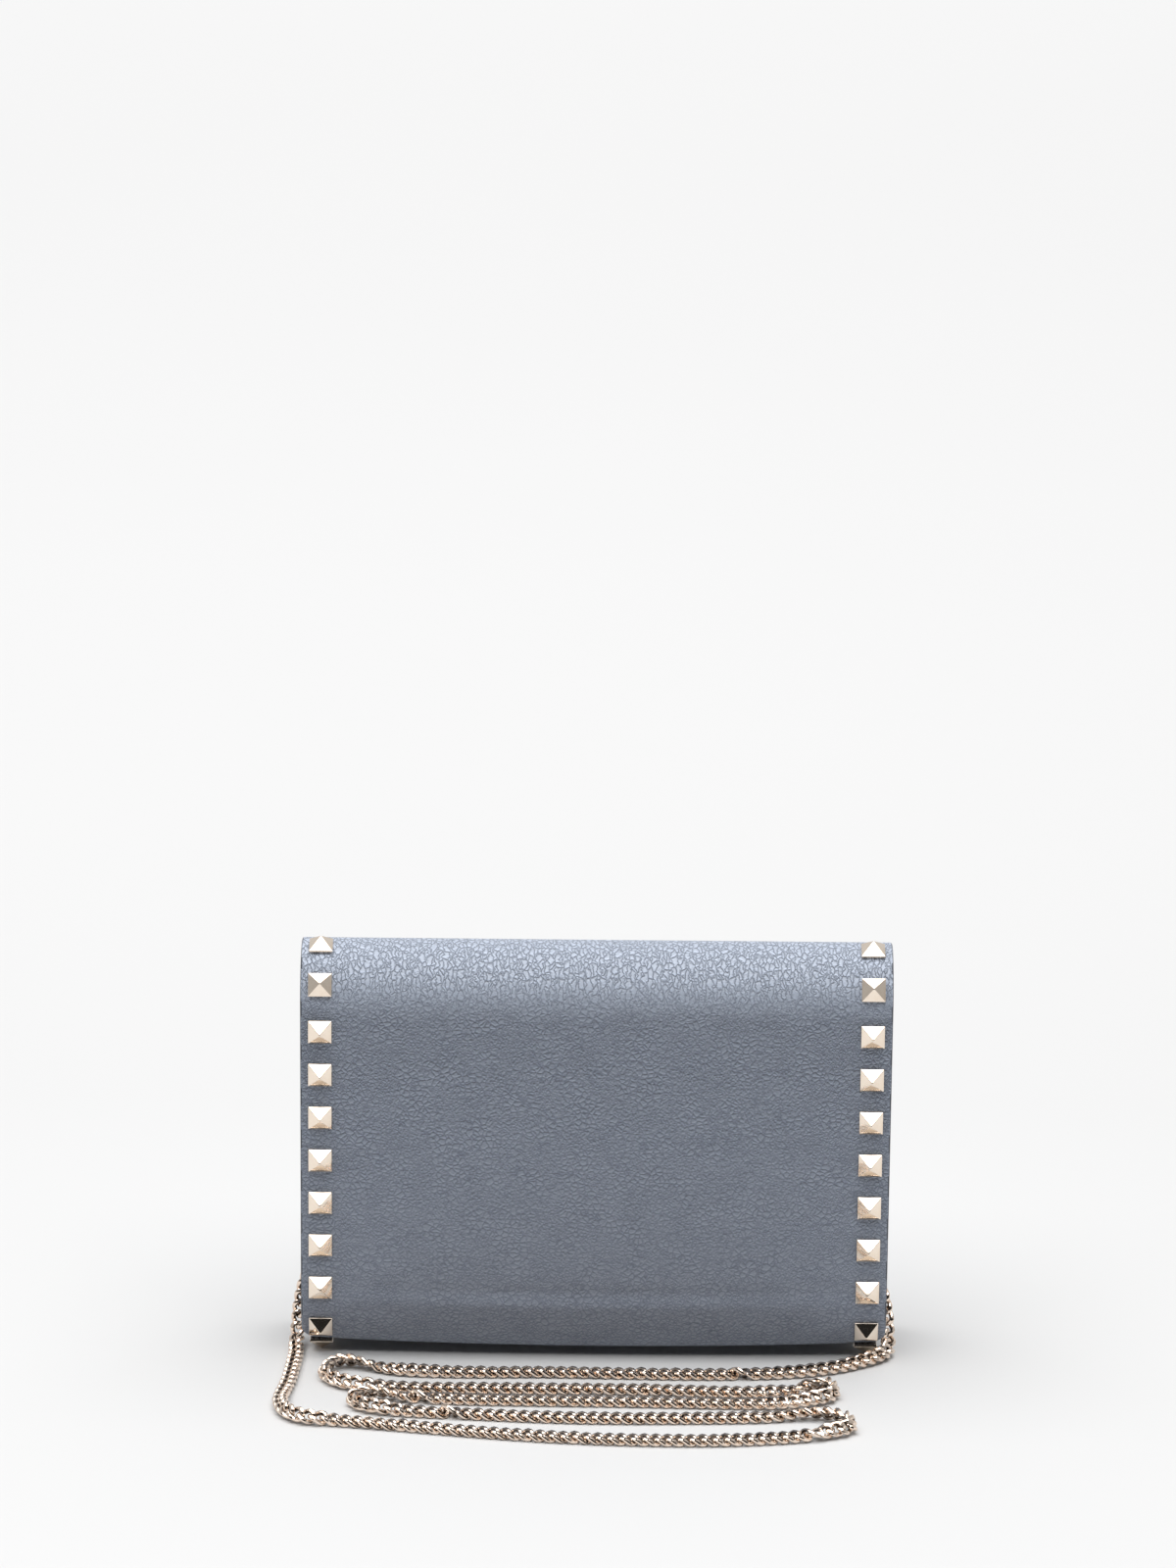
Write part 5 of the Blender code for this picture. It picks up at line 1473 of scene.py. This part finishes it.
@dataclass
class Interior:
    """Linings, card pockets, the zip pocket with its zip, and the magnetic snap."""

    zip_y: float = 3.6 * MM
    zip_half: float = 74.0 * MM
    teeth_z: float = 100.3 * MM
    slider_x: float = 60.0 * MM
    snap_z: float = 46.0 * MM

    def build(self) -> None:
        """Makes everything inside."""
        self.add_linings()
        self.add_card_pockets()
        self.add_zip_pocket()
        self.add_teeth()
        self.add_slider()
        self.add_pull()
        self.add_snap()
        LOG.info("inside ready")

    def boxed(self, node: str, finish: Finish, body: Body, radii: float | Sequence[float],
              edge: float, rim: bool = False) -> bpy.types.Object:
        """Makes an upright plate where a CAD node stands.

        Args:
            node: The CAD node it stands for.
            finish: Its finish.
            body: The body it rides on.
            radii: The radii of its corners.
            edge: The radius of its edges.
            rim: Whether its edge is painted.

        Returns:
            The object.
        """
        low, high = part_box(node)
        made = plate(f"{node}_cover", finish, rectangle(low.x, high.x, low.z, high.z, radii, 10),
                     low.y, high.y, edge, on_xz)
        if rim:
            paint_rim(made, 1)
        return place_on(made, body, [node])

    def add_linings(self) -> None:
        """Makes the linings of the body's back and front."""
        self.boxed("back_lining", Finishes.LINING, Body.ROOT, 0.5 * MM, 0.3 * MM)
        self.boxed("front_lining", Finishes.LINING, Body.FRONT, [0.5 * MM, 0.5 * MM, 9 * MM, 9 * MM], 0.3 * MM)

    def add_card_pockets(self) -> None:
        """Makes the three stepped card pockets and their stitching."""
        rows, thread = Stitching(), Shape()
        for number in (1, 2, 3):
            node = f"card_pocket_{number}"
            self.boxed(node, Finishes.POCKET, Body.ROOT, [0.6 * MM, 0.6 * MM, 2 * MM, 2 * MM],
                       0.4 * MM, True)
            low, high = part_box(node)
            y, out = low.y, (0, -1, 0)
            base = low.z + 1.5 * MM if number == 3 else high.z - 11.5 * MM
            for x in (low.x + 1.6 * MM, 0.0, high.x - 1.6 * MM):
                rows.add(thread, (x, y, base), (x, y, high.z - 1.0 * MM), out)
            if number == 3:
                rows.add(thread, (low.x + 3 * MM, y, low.z + 1.6 * MM), (high.x - 3 * MM, y, low.z + 1.6 * MM), out)
        place_on(thread.build("card_pocket_thread", Finishes.THREAD), Body.ROOT)

    def add_zip_pocket(self) -> None:
        """Makes the zip pocket's walls, their top seams and the zip's tapes."""
        rows, thread = Stitching(2.2 * MM, 0.8 * MM, 0.22 * MM), Shape()
        for end, facing in (("rear", 1), ("front", -1)):
            self.boxed(f"zip_pocket_wall_{end}", Finishes.LINING, Body.ROOT, 0.6 * MM, 0.4 * MM)
            low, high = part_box(f"zip_pocket_wall_{end}")
            y = high.y if facing > 0 else low.y
            rows.add(thread, (low.x + 4 * MM, y, high.z - 3 * MM), (high.x - 4 * MM, y, high.z - 3 * MM), (0, facing, 0))
            node = f"zip_tape_{end}"
            low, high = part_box(node)
            tape = plate(f"{node}_cloth", Finishes.TAPE, rectangle(low.x, high.x, low.y, high.y, 0.3 * MM, 3),
                         low.z, high.z, 0.2 * MM, on_xy)
            place_on(tape, Body.ROOT, [node])
            middle = low.y * 0.35 + high.y * 0.65 if facing > 0 else low.y * 0.65 + high.y * 0.35
            rows.add(thread, (low.x + 2 * MM, middle, high.z), (high.x - 2 * MM, middle, high.z), (0, 0, 1))
        place_on(thread.build("zip_pocket_thread", Finishes.THREAD), Body.ROOT)

    def add_teeth(self) -> None:
        """Makes the zip's two rows of teeth, which mesh along the middle, with a stop at each end."""
        pitch = 1.5 * MM
        count = int(2 * self.zip_half / pitch) - 1
        for row, (end, facing) in enumerate((("rear", 1), ("front", -1))):
            shape = Shape()
            for k in range(count):
                x = -self.zip_half + pitch * (k + 0.9 + 0.5 * row)
                root, tip = self.zip_y + facing * 1.7 * MM, self.zip_y - facing * 0.28 * MM
                y0, y1 = sorted((root, tip))
                outline = rectangle(x - 0.42 * MM, x + 0.42 * MM, y0, y1, 0.22 * MM, 2)
                add_soft_plate(shape, outline, self.teeth_z + 0.1 * MM, self.teeth_z + 1.5 * MM, 0.2 * MM, on_xy, 2)
            for x in (-self.zip_half + 0.5 * MM, self.zip_half - 0.5 * MM):
                y0, y1 = sorted((self.zip_y + facing * 0.15 * MM, self.zip_y + facing * 1.7 * MM))
                add_soft_plate(shape, rectangle(x - 0.5 * MM, x + 0.5 * MM, y0, y1, 0.3 * MM, 3),
                               self.teeth_z, self.teeth_z + 1.6 * MM, 0.25 * MM, on_xy, 3)
            made = shape.build(f"zip_teeth_{end}_metal", Finishes.ZIP, 35)
            place_on(made, Body.ROOT, [f"zip_teeth_{end}"])

    def add_slider(self) -> None:
        """Makes the slider: a shaped plate, a lip down each side, two ears and a pin."""
        shape, x, y = Shape(), self.slider_x, self.zip_y
        corners = [(x - 4 * MM, y - 2.0 * MM), (x + 1.5 * MM, y - 2.7 * MM), (x + 4 * MM, y - 2.4 * MM),
                   (x + 4 * MM, y + 2.4 * MM), (x + 1.5 * MM, y + 2.7 * MM), (x - 4 * MM, y + 2.0 * MM)]
        outline = rounded_outline(corners, [1.2 * MM, 2 * MM, 0.8 * MM, 0.8 * MM, 2 * MM, 1.2 * MM], 6)
        add_soft_plate(shape, outline, 102.2 * MM, 103.0 * MM, 0.3 * MM, on_xy)
        for facing in (-1, 1):
            y0, y1 = sorted((y + facing * 2.0 * MM, y + facing * 2.7 * MM))
            add_soft_plate(shape, rectangle(x - 3 * MM, x + 3 * MM, 101.25 * MM, 102.5 * MM, 0.4 * MM, 4), y0, y1, 0.2 * MM, on_xz)
            y0, y1 = sorted((y + facing * 0.75 * MM, y + facing * 1.5 * MM))
            ear = rectangle(x - 1.1 * MM, x + 1.1 * MM, 102.8 * MM, 105.0 * MM, [0.1 * MM, 0.1 * MM, 1.0 * MM, 1.0 * MM], 6)
            add_soft_plate(shape, ear, y0, y1, 0.18 * MM, on_xz)
        pin = [(0.28 * MM, y - 1.7 * MM), (0.38 * MM, y - 1.62 * MM), (0.38 * MM, y + 1.62 * MM), (0.28 * MM, y + 1.7 * MM)]
        add_turned(shape, pin, x, 104.15 * MM, 20)
        place_on(shape.build("zip_slider_metal", Finishes.ZIP, 35), Body.SLIDER, ["zip_slider"])

    def add_pull(self) -> None:
        """Makes the pull: a neck round the pin, a tapered tab and a raised border."""
        shape, x, y = Shape(), self.slider_x, self.zip_y
        outline = [(x + 0.55 * MM, y - 0.45 * MM), (x - 1.7 * MM, y - 0.45 * MM), (x - 3.0 * MM, y - 1.5 * MM),
                   (x - 12.2 * MM, y - 2.2 * MM), (x - 14 * MM, y - 1.3 * MM)]
        outline += [(px, 2 * y - py) for px, py in reversed(outline)]
        radii = [0.3, 0.4, 1.0, 1.2, 1.0, 1.0, 1.2, 1.0, 0.4, 0.3]
        rounded = rounded_outline(outline, [r * MM for r in radii], 5)
        add_soft_plate(shape, rounded, 103.7 * MM, 104.6 * MM, 0.3 * MM, on_xy)
        ring = np.array([(x - 8 * MM + 4.2 * MM * math.cos(a), y + (1.25 + 0.22 * math.cos(math.pi - a)) * MM * math.sin(a))
                         for a in TAU * np.arange(40) / 40])
        line = np.concatenate([ring, np.full((40, 1), 104.6 * MM)], axis=1)
        add_tube(shape, line, 0.16 * MM, True, 8)
        place_on(shape.build("zip_pull_metal", Finishes.ZIP, 35), Body.PULL, ["zip_pull"])

    def add_snap(self) -> None:
        """Makes the magnet's cup on the front panel and the disc on the flap."""
        low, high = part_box("snap_magnet_cup")
        back, face = high.y, low.y
        e = 0.35 * MM
        cup = [(6.0 * MM, back), (7.0 * MM, back - e), (7.0 * MM, face + e), (6.9 * MM, face + 0.1 * MM), (6.65 * MM, face),
               (6.0 * MM, face), (5.85 * MM, face + 0.12 * MM), (3.3 * MM, face + 0.12 * MM), (3.1 * MM, face),
               (2.95 * MM, face + 0.1 * MM), (2.9 * MM, face + e), (2.9 * MM, back - 0.8 * MM)]
        shape = Shape()
        add_turned(shape, cup, 0.0, self.snap_z)
        place_on(shape.build("snap_magnet_metal", Finishes.SNAP, 40), Body.FRONT, ["snap_magnet_cup"])
        low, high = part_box("snap_disc")
        back, nub = low.y, high.y
        face = back + 1.45 * MM
        disc = [(5.6 * MM, back), (6.0 * MM, back + 0.2 * MM), (6.0 * MM, face - 0.45 * MM), (5.7 * MM, face - 0.1 * MM),
                (5.3 * MM, face), (2.35 * MM, face), (2.2 * MM, face + 0.12 * MM), (2.2 * MM, nub - 0.4 * MM),
                (2.05 * MM, nub - 0.1 * MM), (1.7 * MM, nub)]
        shape = Shape()
        add_turned(shape, disc, 0.0, self.snap_z)
        place_on(shape.build("snap_disc_metal", Finishes.SNAP, 40), Body.FLAP, ["snap_disc"])


# ---------------------------------------------------------------- the chain's hardware


@dataclass
class SideHardware:
    """The tab, D-ring, lobster clasp and jump ring at each end of the chain."""

    x: float = 88.4 * MM
    y: float = 7.0 * MM
    ring_z: float = 106.0 * MM
    wire: float = 0.9 * MM
    made: dict = field(default_factory=dict)

    def build(self) -> dict[Side, list[bpy.types.Object]]:
        """Makes both sides.

        Returns:
            The pieces that go with each chain end.
        """
        for side in Side:
            self.add_tab(side)
            self.add_ring(side)
            self.made[side] = [self.add_clasp(side), self.add_gate(side), self.add_jump_ring(side)]
        LOG.info("hardware ready")
        return self.made

    def add_tab(self, side: Side) -> None:
        """Makes the stitched leather loop that holds the ring."""
        x, inner, outer = self.x * side.value, 1.2 * MM, 2.8 * MM
        path = [(x + 2.0 * MM, self.ring_z + 9.9 * MM)]
        path += [(x + 2.0 * MM * math.cos(a), self.ring_z + 2.0 * MM * math.sin(a)) for a in np.linspace(0, -math.pi, 17)]
        path += [(x - 2.0 * MM, self.ring_z + 9.9 * MM)]
        dense = rounded_path(path, 0.1 * MM, 0.35 * MM)
        tab = plate(f"ring_tab_{side.word}_leather", Finishes.PANEL, band(dense, outer - inner),
                    self.y - 2.5 * MM, self.y + 2.5 * MM, 0.45 * MM, on_xz)
        place_on(tab, Body.ROOT, [f"ring_tab_{side.word}"])
        thread, rows = Shape(), Stitching(1.6 * MM, 0.5 * MM, 0.2 * MM)
        face = x + side.value * outer
        for z in (self.ring_z + 3.4 * MM, self.ring_z + 8.4 * MM):
            rows.add(thread, (face, self.y - 2.1 * MM, z), (face, self.y + 2.1 * MM, z), (side.value, 0, 0))
        place_on(thread.build(f"ring_tab_{side.word}_thread", Finishes.THREAD), Body.ROOT)

    def add_ring(self, side: Side) -> None:
        """Makes the D-ring."""
        half, straight = 4.1 * MM, 2.5 * MM
        pairs = [(-half + 0.5 * MM, 0.0)] + [(v, 0.0) for v in np.linspace(-3.0 * MM, 3.0 * MM, 7)] + [(half - 0.5 * MM, 0.0)]
        pairs += [(half, -0.5 * MM), (half, -straight)]
        pairs += [(half * math.cos(a), -straight + half * math.sin(a)) for a in np.linspace(0, -math.pi, 25)[1:-1]]
        pairs += [(-half, -straight), (-half, -0.5 * MM)]
        line = np.array([(self.x * side.value, self.y + u, self.ring_z + v) for u, v in pairs])
        shape = Shape()
        add_tube(shape, line, self.wire, True, 16)
        made = shape.build(f"d_ring_{side.word}_metal", Finishes.HARDWARE)
        place_on(made, side.ring_body, [f"d_ring_{side.word}"])

    def add_clasp(self, side: Side) -> bpy.types.Object:
        """Makes the clasp's hook, body, swivel and eye."""
        s, x, y = side.value, self.x * side.value, self.y
        arc_z = 99.3 * MM
        path = [(2.1 * MM, 98.5 * MM), (2.1 * MM, 99.0 * MM)]
        path += [(2.1 * MM * math.cos(a), arc_z + 2.1 * MM * math.sin(a)) for a in np.linspace(0, math.pi, 21)]
        path += [(-2.15 * MM, 97 * MM), (-2.2 * MM, 95 * MM), (-1.95 * MM, 93 * MM), (-1.2 * MM, 91.3 * MM), (0.0, 90.6 * MM),
                 (1.2 * MM, 91.3 * MM), (1.9 * MM, 92.6 * MM), (2.1 * MM, 94.3 * MM), (2.1 * MM, 94.9 * MM)]
        path = np.array(path)
        path = np.stack([x + s * path[:, 0], path[:, 1]], axis=1)
        t = np.linspace(0, 1, len(path))
        shape = Shape()
        add_flat_wire(shape, path, (0.62 + 0.22 * np.sin(math.pi * t)) * MM, (0.85 + 0.32 * np.sin(math.pi * t)) * MM, y)
        body = rounded_outline([(x - 1.7 * MM, 91.2 * MM), (x + 1.7 * MM, 91.2 * MM), (x + 1.9 * MM, 93.9 * MM), (x - 1.9 * MM, 93.9 * MM)],
                               0.7 * MM, 5)
        add_soft_plate(shape, body, y - 1.05 * MM, y + 1.05 * MM, 0.4 * MM, on_xz)
        collar = np.array([(x, y, z * MM) for z in (88.9, 89.1, 89.3, 89.9, 90.2, 90.6)])
        add_tube(shape, collar, np.array([0.9, 1.2, 1.25, 1.25, 1.1, 0.8]) * MM, sides=20)
        eye = np.array([(x + 1.68 * MM * math.cos(a), 87.25 * MM + 1.68 * MM * math.sin(a)) for a in TAU * np.arange(32) / 32])
        add_flat_wire(shape, eye, 0.58 * MM, 0.75 * MM, y, True)
        made = shape.build(f"clasp_{side.word}_metal", Finishes.HARDWARE, 40)
        return place_on(made, side.ring_body, [f"clasp_hook_{side.word}"])

    def add_gate(self, side: Side) -> bpy.types.Object:
        """Makes the clasp's sprung gate, with its pivot and thumb nib."""
        s, x = side.value, self.x * side.value
        path = np.array([(2.05, 95.1), (2.1, 96.0), (2.12, 97.0), (2.1, 98.05)]) * MM
        path = np.stack([x + s * path[:, 0], path[:, 1]], axis=1)
        shape = Shape()
        add_flat_wire(shape, path, 0.5 * MM, 0.75 * MM, self.y)
        pivot = [(0.35 * MM, self.y - 1.0 * MM), (0.45 * MM, self.y - 0.9 * MM), (0.45 * MM, self.y + 0.9 * MM), (0.35 * MM, self.y + 1.0 * MM)]
        add_turned(shape, pivot, x + s * 2.1 * MM, 95.9 * MM, 20)
        add_soft_plate(shape, rectangle(*sorted((x + s * 2.3 * MM, x + s * 2.9 * MM)), 96.4 * MM, 97.3 * MM, 0.25 * MM, 4),
                       self.y - 0.45 * MM, self.y + 0.45 * MM, 0.2 * MM, on_xz)
        made = shape.build(f"clasp_gate_{side.word}_metal", Finishes.HARDWARE, 40)
        return place_on(made, side.gate_body, [f"clasp_gate_{side.word}"])

    def add_jump_ring(self, side: Side) -> bpy.types.Object:
        """Makes the jump ring between the clasp's eye and the chain."""
        ring = circle(2.6 * MM, 40)
        line = np.stack([np.full(40, self.x * side.value), self.y + ring[:, 0], 84.4 * MM + ring[:, 1]], axis=1)
        shape = Shape()
        add_tube(shape, line, 0.55 * MM, True, 14)
        made = shape.build(f"jump_ring_{side.word}_metal", Finishes.CHAIN)
        return place_on(made, side.ring_body, [f"jump_ring_{side.word}"])


def check_nothing_plain() -> None:
    """Reports any CAD node that is still shown as it came."""
    shown = [name for name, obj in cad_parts.items() if not obj.hide_render]
    LOG.info("CAD nodes still shown: %s", shown)


def main() -> None:
    """Builds the looks, piece by piece."""
    logging.basicConfig(level=logging.INFO, format="%(name)s: %(message)s")
    Studio().build()
    hardware = SideHardware().build()
    Chain(hardware=hardware).build()
    FlapShell().build()
    Studs().build()
    BodyPanels().build()
    Interior().build()
    check_nothing_plain()


if __name__ == "__main__":
    main()
